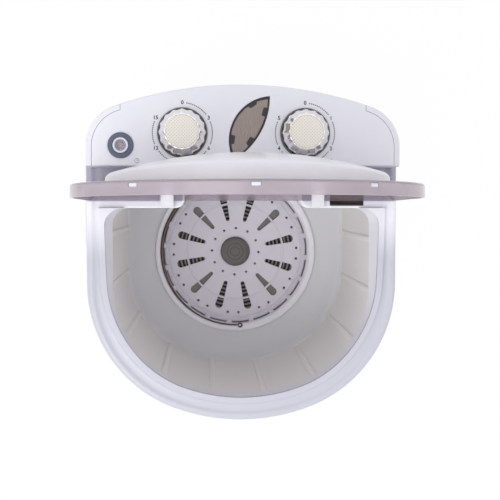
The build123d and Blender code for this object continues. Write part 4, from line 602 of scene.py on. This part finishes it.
def makeTub():
    t = tub
    flangeTop = deckTop - 19.0
    steps = 6
    flange = bodyOutline(2.8, 2, 8, 32, 8)     # with as many points as the tub's outline
    rings = [level(flange, flangeTop - 3.0), level(flange, flangeTop)]
    inner = [level(tubOutline(t["inset"]), z) for z in (flangeTop, 400.0, 330.0, 260.0)]
    for i in range(steps + 1):
        a = radians(90 * i / steps)
        inset = t["inset"] + t["fillet"] * (1 - cos(a))
        inner.append(level(tubOutline(inset), t["floor"] + t["fillet"] * (1 - sin(a))))
    rings += inner
    angles = [atan2(y, x) for x, y in tubOutline(t["inset"])]
    circle = lambda radius, z: [(radius * cos(a), radius * sin(a), z) for a in angles]
    rings += [circle(t["well"] + 0.8, t["floor"]), circle(t["well"] + 0.2, t["floor"] - 0.3),
              circle(t["well"], t["floor"] - 0.9), circle(t["well"], t["wellFloor"] + 3),
              circle(t["well"] - 1, t["wellFloor"] + 1), circle(t["well"] - 3, t["wellFloor"]),
              circle(14.0, t["wellFloor"]), circle(14.0, t["wellFloor"] - 3.0),
              circle(t["well"] + 2.5, t["wellFloor"] - 3.0), circle(t["well"] + 2.5, t["floor"] - 3.0)]
    outer = t["inset"] - t["wall"]
    rings += [level(tubOutline(outer + 3), t["floor"] - 3.0), level(tubOutline(outer), t["floor"]),
              level(tubOutline(outer), flangeTop - 3.0)]
    body = loft("tub", rings, loop=True)
    # the ribs stand on the wall and end low down in a rounded bulb
    ribs = []
    wallLine = tubOutline(t["inset"])
    for k in range(t["ribs"]):
        a = radians(t["ribTurn"] + 360 * k / t["ribs"])
        x, y, nx, ny = wallPoint(wallLine, a)
        ribs.append(makeRib("rib", x, y, nx, ny))
    whole = join([body] + ribs, "wash_tub_body")
    finish(whole, tubPp, "root", ["wash_tub"], 38)

def wallPoint(outline, angle):                 # where a ray from the axis meets the wall, and its normal
    c, s = cos(angle), sin(angle)
    for (x0, y0), (x1, y1) in zip(outline, outline[1:] + outline[:1]):
        cross = c * (y1 - y0) - s * (x1 - x0)
        if abs(cross) < 1e-9:
            continue
        reach = (x0 * (y1 - y0) - y0 * (x1 - x0)) / cross
        along = (c * y0 - s * x0) / -cross
        if reach > 0 and -1e-9 <= along <= 1 + 1e-9:
            length = sqrt((x1 - x0) ** 2 + (y1 - y0) ** 2)
            return reach * c, reach * s, -(y1 - y0) / length, (x1 - x0) / length
    return 0.0, 0.0, 0.0, 0.0

def makeRib(name, x, y, nx, ny):
    t = tub
    half, depth = t["ribWidth"] / 2, t["ribDepth"]
    section = [(-1.0, -0.5), (-1.0, 0.25), (-0.85, 0.6), (-0.5, 0.9), (0.0, 1.0), (0.5, 0.9), (0.85, 0.6),
               (1.0, 0.25), (1.0, -0.5)]
    tx, ty = -ny, nx
    low = t["floor"] + 14.0
    heights = [(low - 3.4, 0.15, 0.1), (low - 2.8, 0.75, 0.55), (low - 1.6, 1.15, 0.95), (low, 1.3, 1.12),
               (low + 2.2, 1.2, 1.1), (low + 5, 1.0, 1.0), (300.0, 1.0, 1.0), (t["ribTop"] - 3, 1.0, 1.0),
               (t["ribTop"], 0.8, 0.2)]
    rings = []
    for z, wide, tall in heights:
        rings.append([(x + tx * u * half * wide + nx * v * depth * tall, y + ty * u * half * wide
                       + ny * v * depth * tall, z) for u, v in section])
    return loft(name, rings)

makeTub()
print("tub made")

# spin basket

basket = dict(floor=177.0, lipTop=191.5, slots=12, slotTurn=13.0, slotIn=46.0, slotOut=78.0, inHalf=2.6,
              outHalf=5.3, ring=67.0, ringWidth=2.6, windows=20, windowTurn=4.0, windowWide=24.0,
              windowHigh=6.6, dotRing=86.2, dotRadius=1.8, innerRing=32.7, innerRadius=1.7, bore=6.3)

def makeBasket():
    b = basket
    z0 = b["floor"]
    top = b["lipTop"]
    profile = [(b["bore"], z0 - 2.5), (92.0, z0 - 2.5), (94.5, z0 - 2.0), (96.0, z0 - 0.6),
               (104.6, top - 3.6), (106.5, top - 2.9), (109.9, top - 2.8), (110.4, top - 2.2), (110.5, top - 1.3),
               (110.2, top - 0.6), (109.4, top - 0.1), (108.4, top), (104.6, top), (103.4, top - 0.25),
               (102.7, top - 0.9), (102.2, top - 1.9), (94.6, z0 + 2.6), (93.6, z0 + 1.3),
               (92.6, z0 + 0.6), (92.2, z0 - 0.6), (91.5, z0 - 0.6), (91.1, z0), (b["bore"], z0)]
    dish = turned("dish", profile, count=176, loop=True)
    tools = []
    step = 360 / b["slots"]
    slot = arcRun(b["slotOut"], 0, b["outHalf"], -90, 90, 10)
    slot += arcRun(b["slotIn"], 0, b["inHalf"], 90, 270, 8)
    for k in range(b["slots"]):
        angle = b["slotTurn"] + step * k
        tools.append(prism("slot", turnPoints(slot, angle), z0 - 8, z0 + 6))
        hole = turnPoints(circleOutline(b["innerRing"], 0, b["innerRadius"], 16), angle - step / 2)
        tools.append(prism("hole", hole, z0 - 8, z0 + 6))
        for swing in (-5.0, 5.0):
            hole = turnPoints(circleOutline(b["dotRing"], 0, b["dotRadius"], 16), angle - step / 2 + swing)
            tools.append(prism("hole", hole, z0 - 8, z0 + 2.5))
    middle = (z0 + top - 2.8) / 2
    for k in range(b["windows"]):
        box = roundedBox(102.5, 0, 24.0, b["windowWide"], 1.0, 3)
        box = turnPoints(box, b["windowTurn"] + 360 * k / b["windows"])
        tools.append(prism("window", box, middle - b["windowHigh"] / 2, middle + b["windowHigh"] / 2))
    combine(dish, tools)
    half = b["ringWidth"] / 2
    near, far = b["ring"] - half, b["ring"] + half
    ringProfile = [(near, z0 - 2.4), (far, z0 - 2.4), (far, z0 + 0.3), (far - 0.5, z0 + 0.8),
                   (near + 0.5, z0 + 0.8), (near, z0 + 0.3)]
    ring = turned("ring", ringProfile, count=144, loop=True)
    hubProfile = [(b["bore"], z0 - 5.0), (15.0, z0 - 5.0), (15.0, z0 - 2.4), (b["bore"], z0 - 2.4)]
    hub = turned("hub", hubProfile, count=48, loop=True)
    whole = join([dish, ring, hub], "spin_basket_dish")
    finish(whole, basketPp, "basket", ["spin_basket"], 32)

def makeHubCap():
    low, high = span("hub_cap")
    top, r = high.z, high.x
    profile = [(r, low.z), (r, top - 2.2), (r - 0.4, top - 1.1), (r - 1.2, top - 0.4), (r - 2.4, top),
               (r - 4.0, top), (r - 4.3, top - 0.3), (r - 4.6, top), (11.6, top), (11.3, top - 0.4),
               (11.0, top), (6.6, top), (6.3, top - 0.3), (6.0, top), (1.5, top)]
    cap = turned("hub_cap_disc", profile, count=80)
    finish(cap, capAbs, "basket", ["hub_cap"], 28)

def makeWire():                                # widened and flattened towards its start into a dark band that stands in for shade along the lip, thin towards its loop
    w = dict(ring=101.6, z=basket["lipTop"] + 0.9, thick=1.25, wide=2.5, thin=1.05, start=126.0, sweep=146.0)
    points = arcRun(0, 0, w["ring"], w["start"], w["start"] + w["sweep"], 72)
    endX, endY = points[-1]
    loop = arcRun(endX + 2.6, endY - 0.6, 2.6, 168, -150, 14)
    centre = points + loop[1:]
    rings = []
    for i, (x, y) in enumerate(centre):
        before, after = centre[max(i - 1, 0)], centre[min(i + 1, len(centre) - 1)]
        dx, dy = after[0] - before[0], after[1] - before[1]
        length = sqrt(dx * dx + dy * dy)
        nx, ny = -dy / length, dx / length
        # painted shade: the wide flat start of the wire stands in for a shaded groove
        share = min(1.0, max(0.0, (i - 22) / 34))
        wide = w["wide"] + (w["thin"] - w["wide"]) * share
        tall = min(w["thick"], wide)
        rings.append([(x + nx * wide * cos(2 * pi * k / 12), y + ny * wide * cos(2 * pi * k / 12),
                       w["z"] + tall * sin(2 * pi * k / 12)) for k in range(12)])
    wire = loft("retaining_wire", rings)
    finish(wire, wireSteel, "basket", ["basket_wire"], 60, False)

pulsator = dict(radius=span("pulsator")[1].x, low=span("pulsator")[0].z, high=span("pulsator")[1].z, bore=6.0,
                edge=1.2, sectors=4, reach=25.0, firstGroove=24.0, pitch=5.4, grooveWide=3.2, grooveDeep=6.0)

def makePulsator():                            # plain sectors and grooved ones take turns under the slots
    q = pulsator
    r, e = q["radius"], q["edge"]
    profile = [(q["bore"], q["low"]), (r - 0.5, q["low"]), (r, q["low"] + 0.5), (r, q["high"] - e)]
    profile += [(r - e + e * cos(radians(t)), q["high"] - e + e * sin(radians(t))) for t in (30, 60, 90)]
    profile += [(q["bore"] + 0.5, q["high"]), (q["bore"], q["high"] - 0.5)]
    disc = turned("disc", profile, count=120, loop=True)
    tools = []
    low = max(q["high"] - q["grooveDeep"], q["low"] + 1.5)
    for k in range(q["sectors"]):
        middle = 360 / q["sectors"] * k
        radius = q["firstGroove"]
        while radius + q["grooveWide"] < r - 1.5:
            inner = arcRun(0, 0, radius, middle - q["reach"], middle + q["reach"], 12)
            outer = arcRun(0, 0, radius + q["grooveWide"], middle + q["reach"], middle - q["reach"], 12)
            tools.append(prism("groove", inner + outer, low, q["high"] + 3))
            radius += q["pitch"]
    combine(disc, tools)
    finish(disc, pulsatorPp, "drive", ["pulsator"], 32)

makePulsator()
makeBasket()
makeHubCap()
makeWire()
print("basket made")

# control head and panel

head = dict(inset=6.0, edge=2.0, panel=3.0, gap=0.35)

def makeHead():
    h = head
    rings = [level(headOutline(h["inset"] + 0.3), headLow.z), level(headOutline(h["inset"]), headLow.z + 0.3)]
    rings += roundTop(headOutline, h["inset"], headTop, h["edge"], 5)
    block = loft("control_head_shell", rings)
    activate(block)
    bpy.ops.object.duplicate()
    panel = bpy.context.object
    combine(block, [prism("inside", headOutline(h["inset"] + 9.0), headLow.z - 5, headTop - h["panel"] + 2)])
    combine(block, [prism("seat", panelOutline(h["gap"]), headTop - h["panel"], headTop + 5)])
    soften(block, 0.35, 50, 2)
    finish(block, headAbs, "root", ["control_head"], 32)
    panel.name = panel.data.name = "control_panel_plate"
    combine(panel, prism("plate", panelOutline(0.0), headTop - h["panel"] + 0.02, headTop + 5), "INTERSECT")
    n = controls
    tools = [prism("nozzle", circleOutline(n["inletX"], n["inletY"], 8.3, 48), headTop - 9, headTop + 5),
             prism("leaf", leafOutline(0.0), headTop - 9, headTop + 5)]
    for x in (-n["knobX"], n["knobX"]):
        tools.append(prism("shaft", circleOutline(x, n["knobY"], 5.0, 32), headTop - 9, headTop + 5))
    combine(panel, tools)
    soften(panel, 0.35, 50, 2)
    finish(panel, headAbs, "root", ["control_panel"], 32)

tabSpots = ((9.0, 172.4, 34), (22.2, 164.4, 74), (-12.2, 135.2, 80), (6.6, 133.4, 56))

def makeWindow():
    low = headTop - head["panel"]
    top = headTop - 0.8
    rings = [level(leafOutline(2.0), low - 2.0), level(leafOutline(2.0), low - 0.02),
             level(leafOutline(-0.2), low - 0.02), level(leafOutline(-0.2), top - 0.4),
             level(leafOutline(-0.6), top)]
    window = loft("leaf_window_plug", rings)
    finish(window, finishes["smoke_window"], "root", ["leaf_window"], 40)
    border = [level(leafOutline(-0.25), top - 0.3), level(leafOutline(-0.25), headTop - 0.25),
              level(leafOutline(-1.0), headTop - 0.05), level(leafOutline(-2.2), headTop - 0.3),
              level(leafOutline(-2.2), top - 0.3)]
    bead = loft("leaf_window_bead", border, loop=True)
    finish(bead, rubberFeet, "root", (), 40)
    tabs = []                                  # four tabs of the clips reach over the window's edge
    for x, y, turn in tabSpots:
        tab = turnPoints(roundedBox(0, 0, 9.4, 4.8, 1.8, 4), turn, x, y)
        inner = turnPoints(roundedBox(0, 0, 8.8, 4.2, 1.5, 4), turn, x, y)
        tabs.append(loft("tab", [level(tab, top - 0.3), level(tab, top + 0.5), level(inner, top + 0.75)]))
    finish(join(tabs, "leaf_window_tabs"), blackNylon, "root", (), 40)

makeHead()
makeWindow()
print("head made")

# dials, knobs and inlet

knob = dict(x=controls["knobX"], y=controls["knobY"], bezel=26.6, bezelWide=1.6, lift=0.6, skirt=9.0,
            top=18.6, high=20.0, radius=24.7, insert=17.2, flutes=16)

def makeKnob(name, x):
    k = knob
    z = headTop
    r = k["bezel"]
    profile = [(r - k["bezelWide"], z), (r, z), (r, z + 1.7), (r - 0.25, z + 2.3), (r - 0.7, z + 2.5),
               (r - 1.2, z + 2.4), (r - k["bezelWide"], z + 2.0)]
    bezel = turned(name + "_bezel_ring", profile, x, k["y"], 96, True)
    finish(bezel, bezelAbs, "root", [name + "_bezel"], 35)

    def flutes(angle, radius, height):
        if height < z + 1.5 or radius < k["insert"] + 0.9:
            return 1.0
        wave = abs(sin(angle * k["flutes"] / 2))
        share = min(1.0, (height - z - 1.5) / 7.0)
        return 1.0 - 0.05 * share * wave ** 1.5
    low, mid, high = z + k["lift"], z + k["lift"] + k["skirt"], z + k["high"]
    r, top, seat = k["radius"], k["top"], k["insert"]
    profile = [(r - 0.5, low), (r, low + 0.5), (r, low + 4.0), (r, mid - 0.4), (r - 0.35, mid + 0.3)]
    for i in range(1, 6):
        f = i / 6
        profile.append((r + (top - r) * f, mid + (high - mid) * f))
    profile += [(top + 0.25, high - 0.5), (top - 0.2, high - 0.05), (top - 0.6, high), (seat + 0.3, high),
                (seat + 0.02, high - 0.3), (seat + 0.02, high - 3.0), (3.1, high - 3.0)]
    crown = turned(name + "_knob_crown", profile, x, k["y"], 240, False, flutes)
    finish(crown, finishes["chrome_trim"], name + "_control", [name + "_knob"], 30)
    r = k["insert"]
    profile = [(r, high - 2.9), (r, high - 0.3), (r - 0.2, high + 0.15), (r - 0.8, high + 0.4),
               (r - 1.4, high + 0.4), (r - 1.6, high + 0.25), (r - 1.9, high + 0.25), (r - 2.1, high + 0.4),
               (1.0, high + 0.4)]
    plate = turned(name + "_insert_plate", profile, x, k["y"], 96)
    finish(plate, finishes["pearl"], name + "_control", [name + "_knob_insert"], 35)

def makeInlet():
    x, y, z = controls["inletX"], controls["inletY"], headTop
    profile = [(8.6, z), (13.7, z), (13.7, z + 1.1), (13.4, z + 1.7), (12.8, z + 2.0), (9.3, z + 2.0),
               (8.8, z + 1.8), (8.6, z + 1.4)]
    ring = turned("inlet_ring_seal", profile, x, y, 72, True)
    finish(ring, ringAbs, "root", ["inlet_ring"], 35)
    low = z - 25
    profile = [(5.9, low), (8.3, low), (8.3, z - 5.0), (11.3, z - 5.0), (11.3, z - 3.05), (8.25, z - 3.05),
               (8.25, z + 3.2), (8.0, z + 3.8), (7.4, z + 4.0), (6.6, z + 4.0), (6.1, z + 3.7),
               (5.9, z + 3.2)]
    nozzle = turned("inlet_nozzle_tube", profile, x, y, 64, True)
    finish(nozzle, trimAbs, "root", ["inlet_nozzle"], 35)
    # a grey strainer sits a little way down the bore
    profile = [(5.88, z - 4.6), (5.88, z - 3.2), (5.2, z - 3.0), (4.6, z - 3.6), (0.6, z - 3.4)]
    disc = turned("inlet_strainer", profile, x, y, 48)
    holes = []
    for ring, count in ((1.7, 6), (3.5, 12)):
        for i in range(count):
            turn = 2 * pi * i / count
            spot = circleOutline(x + ring * cos(turn), y + ring * sin(turn), 0.45, 10)
            holes.append(prism("hole", spot, z - 6.0, z - 2.0))
    combine(disc, holes)
    finish(disc, strainerPp, "root", (), 35)

for name, x in (("wash", -knob["x"]), ("spin", knob["x"])):
    makeKnob(name, x)
makeInlet()

dial = dict(scale=31.6, number=32.0, size=5.6, dots=12, dotRadius=0.7, thick=0.06)

def letter(text, x, y, size):
    deselect()
    bpy.ops.object.text_add(location=(0, 0, 0))
    mark = bpy.context.object
    mark.data.body = text
    mark.data.align_x = "CENTER"
    mark.data.align_y = "CENTER"
    mark.data.size = size / 1000
    mark.data.extrude = dial["thick"] / 2000
    mark.data.offset = 0.00016
    mark.data.resolution_u = 4
    bpy.ops.object.convert(target="MESH")
    mark = bpy.context.object
    corners = [Vector(c) for c in mark.bound_box]
    middle = sum(corners, Vector()) / 8
    move = at(x, y, headTop + dial["thick"] / 2) - Vector((middle.x, middle.y, 0))
    mark.data.transform(Matrix.Translation(move))
    return mark

def makeDial(name, x, numbers):
    d = dial
    marks = []
    y = knob["y"]
    for k, text in enumerate(numbers):
        turn = radians(90 - 60 * k)
        marks.append(letter(text, x + d["number"] * cos(turn), y + d["number"] * sin(turn), d["size"]))
        if k < len(numbers) - 1:
            for j in range(1, d["dots"] + 1):
                a = turn - radians(60 * (0.15 + 0.7 * (j - 1) / (d["dots"] - 1)))
                spot = circleOutline(x + d["scale"] * cos(a), y + d["scale"] * sin(a), d["dotRadius"], 10)
                marks.append(prism("dot", spot, headTop, headTop + d["thick"]))
    whole = join(marks, name + "_dial_marks")
    weld(whole, 0.000001, True)
    finish(whole, printInk, "root", (), 30, False)

def makeClock(name, x, y):                     # a plain little clock beside each dial
    parts = []
    z = headTop
    face = [(2.1, z), (2.5, z), (2.5, z + 0.06), (2.1, z + 0.06)]
    parts.append(turned("face", face, x, y, 24, True))
    for turn, length in ((90, 1.7), (0, 1.2)):
        hand = turnPoints([(-0.15, -0.15), (length, -0.15), (length, 0.15), (-0.15, 0.15)], turn, x, y)
        parts.append(prism("hand", hand, z, z + 0.06))
    whole = join(parts, name)
    finish(whole, printInk, "root", (), 30, False)

makeDial("wash", -knob["x"], ["0", "3", "6", "9", "12", "15"])
makeDial("spin", knob["x"], ["0", "1", "2", "3", "4", "5"])
for name, x in (("wash", -113.0), ("spin", 93.0)):
    makeClock(name + "_clock_mark", x, 112.5)
print("controls made")

# lid

lid = dict(inset=4.5, back=105.0, corner=14.0, depth=12.7, plate=2.5, skirt=2.5, edge=2.2, bracketX=83.0,
           bracketWide=14.0, slotFrom=78.0, heel=17.5, clipX=100.5, clipLow=6.7, clipHigh=3.5)

def lidOutline(inset):
    grow = inset - lid["inset"]
    return squareBack(inset, lid["back"] - grow, max(lid["corner"] - grow, 1.0))

def makeLid():
    v = lid
    rings = [level(lidOutline(v["inset"] + 0.4), 0.0), level(lidOutline(v["inset"]), 0.4)]
    rings += roundTop(lidOutline, v["inset"], v["depth"], v["edge"], 5)
    cover = loft("lid_frame_shell", rings, lidAt)
    inner = v["inset"] + v["skirt"]
    pocket = prism("pocket", lidOutline(inner), -5.0, v["depth"] - v["plate"], lidAt)
    wallLow = hinge["y"] + 1.5
    strip = prism("strip", roundedBox(0, wallLow + 1.25, 400.0, 2.5, 0.1, 2), -10.0, 30.0, lidAt)
    combine(pocket, strip)
    combine(cover, pocket)
    tools = []
    for x in (-v["bracketX"], v["bracketX"]):
        outline = roundedBox(x, v["slotFrom"] + 30, v["bracketWide"] + 2, 60.0, 1.2, 3)
        tools.append(prism("bracketSlot", outline, -5.0, 25.0, lidAt))
    for x, y, turn in clipSpots():
        box = turnPoints(roundedBox(0, 0, 8.5, 8.0, 0.6, 2), turn, x, y)
        tools.append(prism("clipWindow", box, v["clipLow"], v["clipLow"] + v["clipHigh"], lidAt))
    combine(cover, tools)
    # the heel is cut round the hinge so that it clears the ledge as it turns
    side = lambda x, y, z: lidAt(z, hinge["y"] + x, hinge["up"] + y)
    heel = prism("heel", roundedBox(30.0, -30.0, 60.0, 60.0, 0.01, 1), -190.0, 190.0, side)
    combine(heel, prism("turn", circleOutline(0, 0, v["heel"], 128), -200.0, 200.0, side))
    combine(cover, heel)
    soften(cover, 0.3, 50, 2)
    finish(cover, finishes["smoke_clear"], "lid", ["lid_frame"], 32)

def clipSpots():
    v, p = lid, plan
    radius = p["cornerRadius"] - v["inset"]
    lean = degrees(acos(sqrt(1 - ((v["clipX"] - p["cornerX"]) / radius) ** 2)))
    y = p["cornerY"] - radius * cos(radians(lean))
    return [(0.0, p["frontCentre"] - p["frontRadius"] + v["inset"], 0.0), (v["clipX"], y, lean),
            (-v["clipX"], y, -lean)]

def makeClips():
    v = lid
    clips = []
    for x, y, turn in clipSpots():
        c, s = cos(radians(turn)), sin(radians(turn))
        inward = 2.05
        box = turnPoints(roundedBox(0, 0, 8.1, 3.5, 0.7, 3), turn, x - s * inward, y + c * inward)
        rings = [level(box, v["clipLow"] + 0.2), level(box, v["clipLow"] + v["clipHigh"] - 0.2)]
        clips.append(soften(loft("clip", rings, lidAt), 0.4, 50, 2))
    finish(join(clips, "lid_clip_tongues"), trimAbs, "lid", ["lid_clips"], 35)

domeCap = dict(inset=37.0, back=72.0, corner=40.0, height=30.0, edge=8.0, wall=2.5, centreY=-33.8)

def makeDome():
    d = domeCap
    def outline(inset):
        grow = inset - d["inset"]
        return squareBack(inset, d["back"] - grow, d["corner"] - grow)
    halfWide = halfWidth - d["inset"]
    rise = d["height"] - d["edge"]
    radius = (halfWide ** 2 + rise ** 2) / (2 * rise)
    base = lid["depth"] + 0.2
    def crown(x, y, drop=0.0):                 # height of the cap over a point of its plan
        flat = x * x + (y - d["centreY"]) ** 2
        return lid["depth"] + d["height"] - radius + sqrt((radius - drop) ** 2 - flat)
    def shrunk(inset, share):
        return [(x * share, d["centreY"] + (y - d["centreY"]) * share) for x, y in outline(inset)]
    rings = [level(outline(d["inset"]), base)]
    rings.append([(x, y, (base + crown(x, y)) / 2) for x, y in outline(d["inset"])])
    soft = 3.2                                 # the shoulder is rounded
    for i in range(6):
        a = radians(90 * i / 5)
        ring = outline(d["inset"] + soft * (1 - cos(a)))
        rings.append([(x, y, crown(x, y) - soft * (1 - sin(a))) for x, y in ring])
    for share in (0.9, 0.78, 0.64, 0.5, 0.36, 0.22, 0.1, 0.03):
        ring = shrunk(d["inset"] + soft, share)
        rings.append([(x, y, crown(x, y)) for x, y in ring])
    outerHalf = loft("lid_dome_cap", rings, lidAt)
    inner = [level(outline(d["inset"] + d["wall"]), base - 3)]
    inner.append([(x, y, crown(x, y, 2.5) - 2) for x, y in outline(d["inset"] + d["wall"])])
    for share in (0.97, 0.8, 0.6, 0.4, 0.2, 0.05):
        ring = shrunk(d["inset"] + d["wall"], share)
        inner.append([(x, y, crown(x, y, 2.5)) for x, y in ring])
    combine(outerHalf, loft("core", inner, lidAt))
    finish(outerHalf, domeAbs, "lid", ["lid_dome"], 35)

makeLid()
makeClips()
makeDome()
print("lid made")

# rear cover

rear = dict(thick=2.0, corner=10.0, gap=0.2, louvreX=31.0, louvreLong=50.0, louvreHigh=5.0, rows=8,
            pitch=13.0, first=140.0)

def backAt(x, y, z):                           # x to the right, y up, z out from the curved back wall
    radius = plan["rearRadius"] + z
    turn = x / plan["rearRadius"]
    return at(radius * sin(turn), plan["rearCentre"] + radius * cos(turn), y)

def makeRearCover():
    r = rear
    low, high = shell["coverLow"], shell["coverHigh"]
    middle = (low + high) / 2
    def ring(grow, z):
        outline = roundedBox(0, middle, 2 * (shell["coverHalf"] + grow), high - low + 2 * grow,
                             r["corner"] + grow, 8)
        fine = []
        for (x0, y0), (x1, y1) in zip(outline, outline[1:] + outline[:1]):
            count = max(1, int(abs(x1 - x0) / 6))
            fine += [(x0 + (x1 - x0) * i / count, y0 + (y1 - y0) * i / count) for i in range(count)]
        return level(fine, z)
    def strips(z):                             # the flat of the plate is carried in by shrinking rings
        edge = ring(-1.0, z)
        return [[(x * s, middle + (y - middle) * s, h) for x, y, h in edge] for s in (0.8, 0.55, 0.3, 0.05)]
    inside, outside = r["gap"], r["gap"] + r["thick"]
    rings = strips(inside)[::-1] + [ring(0.0, inside), ring(0.0, outside - 0.6), ring(-0.6, outside)]
    rings += strips(outside)
    plate = loft("rear_cover_plate", rings, backAt)
    tools = []
    for row in range(r["rows"]):
        z = r["first"] + row * r["pitch"]
        for x in (-r["louvreX"], r["louvreX"]):
            slot = roundedBox(x, z, r["louvreLong"], r["louvreHigh"], 2.4, 5)
            tools.append(prism("louvre", slot, -6.0, 10.0, backAt))
    combine(plate, tools)
    finish(plate, shellAbs, "root", ["rear_cover"], 30)

makeRearCover()
print("rear cover made")

# small CAD pieces, welded and smoothed in place

def smoothCopy(node, body, material, angle=34):
    source = frame["nodes"][node]
    copy = source.copy()
    copy.data = source.data.copy()
    bpy.context.scene.collection.objects.link(copy)
    copy.name = copy.data.name = node + "_smooth"
    weld(copy, 0.000002)
    return finish(copy, material, body, [node], angle)

recordSlots = {entry["node"]: entry["material_slot"] for entry in frame["record"]["subparts"]}
slots = dict(recordSlots)
basePp = moulded("base dark polypropylene", "45454a", "4e4e53", 0.5, 0.9, 0.03, IOR=1.49)
smoothed = ["base_plate", "feet", "grip_cups", "hinge_brackets", "lid_arms", "hinge_pins", "cord_gland",
            "drain_manifold", "rear_cover_screws", "overflow_duct", "inlet_hose"]
# the hinge brackets take the lid cap's lighter white, painted light where the open lid shades them
slots.update(hinge_brackets="bracket", base_plate="base", drain_manifold="base")
finishes.update(bracket=domeAbs, base=basePp)
for node in smoothed:
    smoothCopy(node, frame["nodes"][node]["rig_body"], finishes[slots[node]])
for node, cadPiece in frame["nodes"].items():
    for place in cadPiece.material_slots:
        place.material = finishes[slots[node]]
print("CAD pieces finished:", len(frame["nodes"]))

# stage, lights and camera

def seenDirectly(tree):                        # 1 for rays from the camera, a mirror or a clear piece
    path = addNode(tree, "ShaderNodeLightPath").outputs
    seen = addNode(tree, "ShaderNodeMath", {"operation": "MAXIMUM"},
                   {0: path["Is Camera Ray"], 1: path["Is Glossy Ray"]})
    return addNode(tree, "ShaderNodeMath", {"operation": "MAXIMUM"},
                   {0: seen.outputs[0], 1: path["Is Transmission Ray"]}).outputs[0]

def makeStage():
    deselect()
    bpy.ops.mesh.primitive_plane_add(size=8.0, location=(0, 0, 0))
    floor = bpy.context.object
    floor.name = "floor"
    material = bpy.data.materials.new("pale floor paper")
    material.use_nodes = True
    tree = material.node_tree
    shader = tree.nodes["Principled BSDF"]
    shader.inputs["Roughness"].default_value = 0.9
    shader.inputs["Specular IOR Level"].default_value = 0.1
    where = addNode(tree, "ShaderNodeTexCoord").outputs["Object"]
    grain = addNode(tree, "ShaderNodeTexNoise", links={"Vector": where}, Scale=400.0)
    mix = addNode(tree, "ShaderNodeMix", {"data_type": "RGBA"}, {"Factor": grain.outputs["Fac"]})
    mix.inputs["A"].default_value = colour("f4f4f5")
    mix.inputs["B"].default_value = colour("f8f8f9")
    tree.links.new(mix.outputs["Result"], shader.inputs["Base Color"])
    share = addNode(tree, "ShaderNodeMath", {"operation": "MULTIPLY"}, {0: seenDirectly(tree)})
    share.inputs[1].default_value = 0.95
    white = addNode(tree, "ShaderNodeEmission", Strength=1.0)
    blend = addNode(tree, "ShaderNodeMixShader", links={0: share.outputs[0], 1: shader.outputs[0],
                                                         2: white.outputs[0]})
    tree.links.new(blend.outputs[0], tree.nodes["Material Output"].inputs["Surface"])
    floor.data.materials.append(material)

def makeWorld():
    world = bpy.data.worlds.new("soft studio")
    bpy.context.scene.world = world
    world.use_nodes = True
    tree = world.node_tree
    light = tree.nodes["Background"]
    light.inputs["Color"].default_value = colour("f4f4f8")
    light.inputs["Strength"].default_value = 0.98
    white = addNode(tree, "ShaderNodeBackground", Color=(1.0, 1.0, 1.0, 1.0), Strength=1.0)
    blend = addNode(tree, "ShaderNodeMixShader", links={0: seenDirectly(tree), 1: light.outputs[0],
                                                         2: white.outputs[0]})
    tree.links.new(blend.outputs[0], tree.nodes["World Output"].inputs["Surface"])

softbox = dict(size=1.3, target=(0.0, 0.0, 0.3))

def addLamp(name, place, power):               # a round white softbox aimed at the body
    lamp = bpy.data.lights.new(name, "AREA")
    lamp.shape = "DISK"
    lamp.size = softbox["size"]
    lamp.energy = power
    holder = bpy.data.objects.new(name, lamp)
    bpy.context.scene.collection.objects.link(holder)
    holder.location = place
    holder.rotation_euler = (Vector(softbox["target"]) - Vector(place)).to_track_quat("-Z", "Y").to_euler()

def makeCamera():
    view = dict(place=(-0.03895, 0.04788, 1.420336), tip=-0.054, roll=-0.048, turn=-0.0027, lens=63.82)
    eye = bpy.data.cameras.new("overhead")
    eye.lens = view["lens"]
    eye.sensor_width = 36.0
    eye.sensor_fit = "HORIZONTAL"
    holder = bpy.data.objects.new("overhead", eye)
    bpy.context.scene.collection.objects.link(holder)
    turn = (Matrix.Rotation(view["tip"], 4, "X") @ Matrix.Rotation(view["roll"], 4, "Y")
            @ Matrix.Rotation(view["turn"], 4, "Z"))
    holder.matrix_world = Matrix.Translation(view["place"]) @ turn
    bpy.context.scene.camera = holder

bpy.context.scene.view_settings.view_transform = "Standard"
makeStage()
makeWorld()
addLamp("frontSoftbox", (-0.9, -1.0, 1.9), 10.5)
addLamp("topSoftbox", (-0.55, -0.3, 2.2), 5.5)
addLamp("sideFill", (1.0, -0.3, 2.0), 2.0)
makeCamera()
print("stage ready")
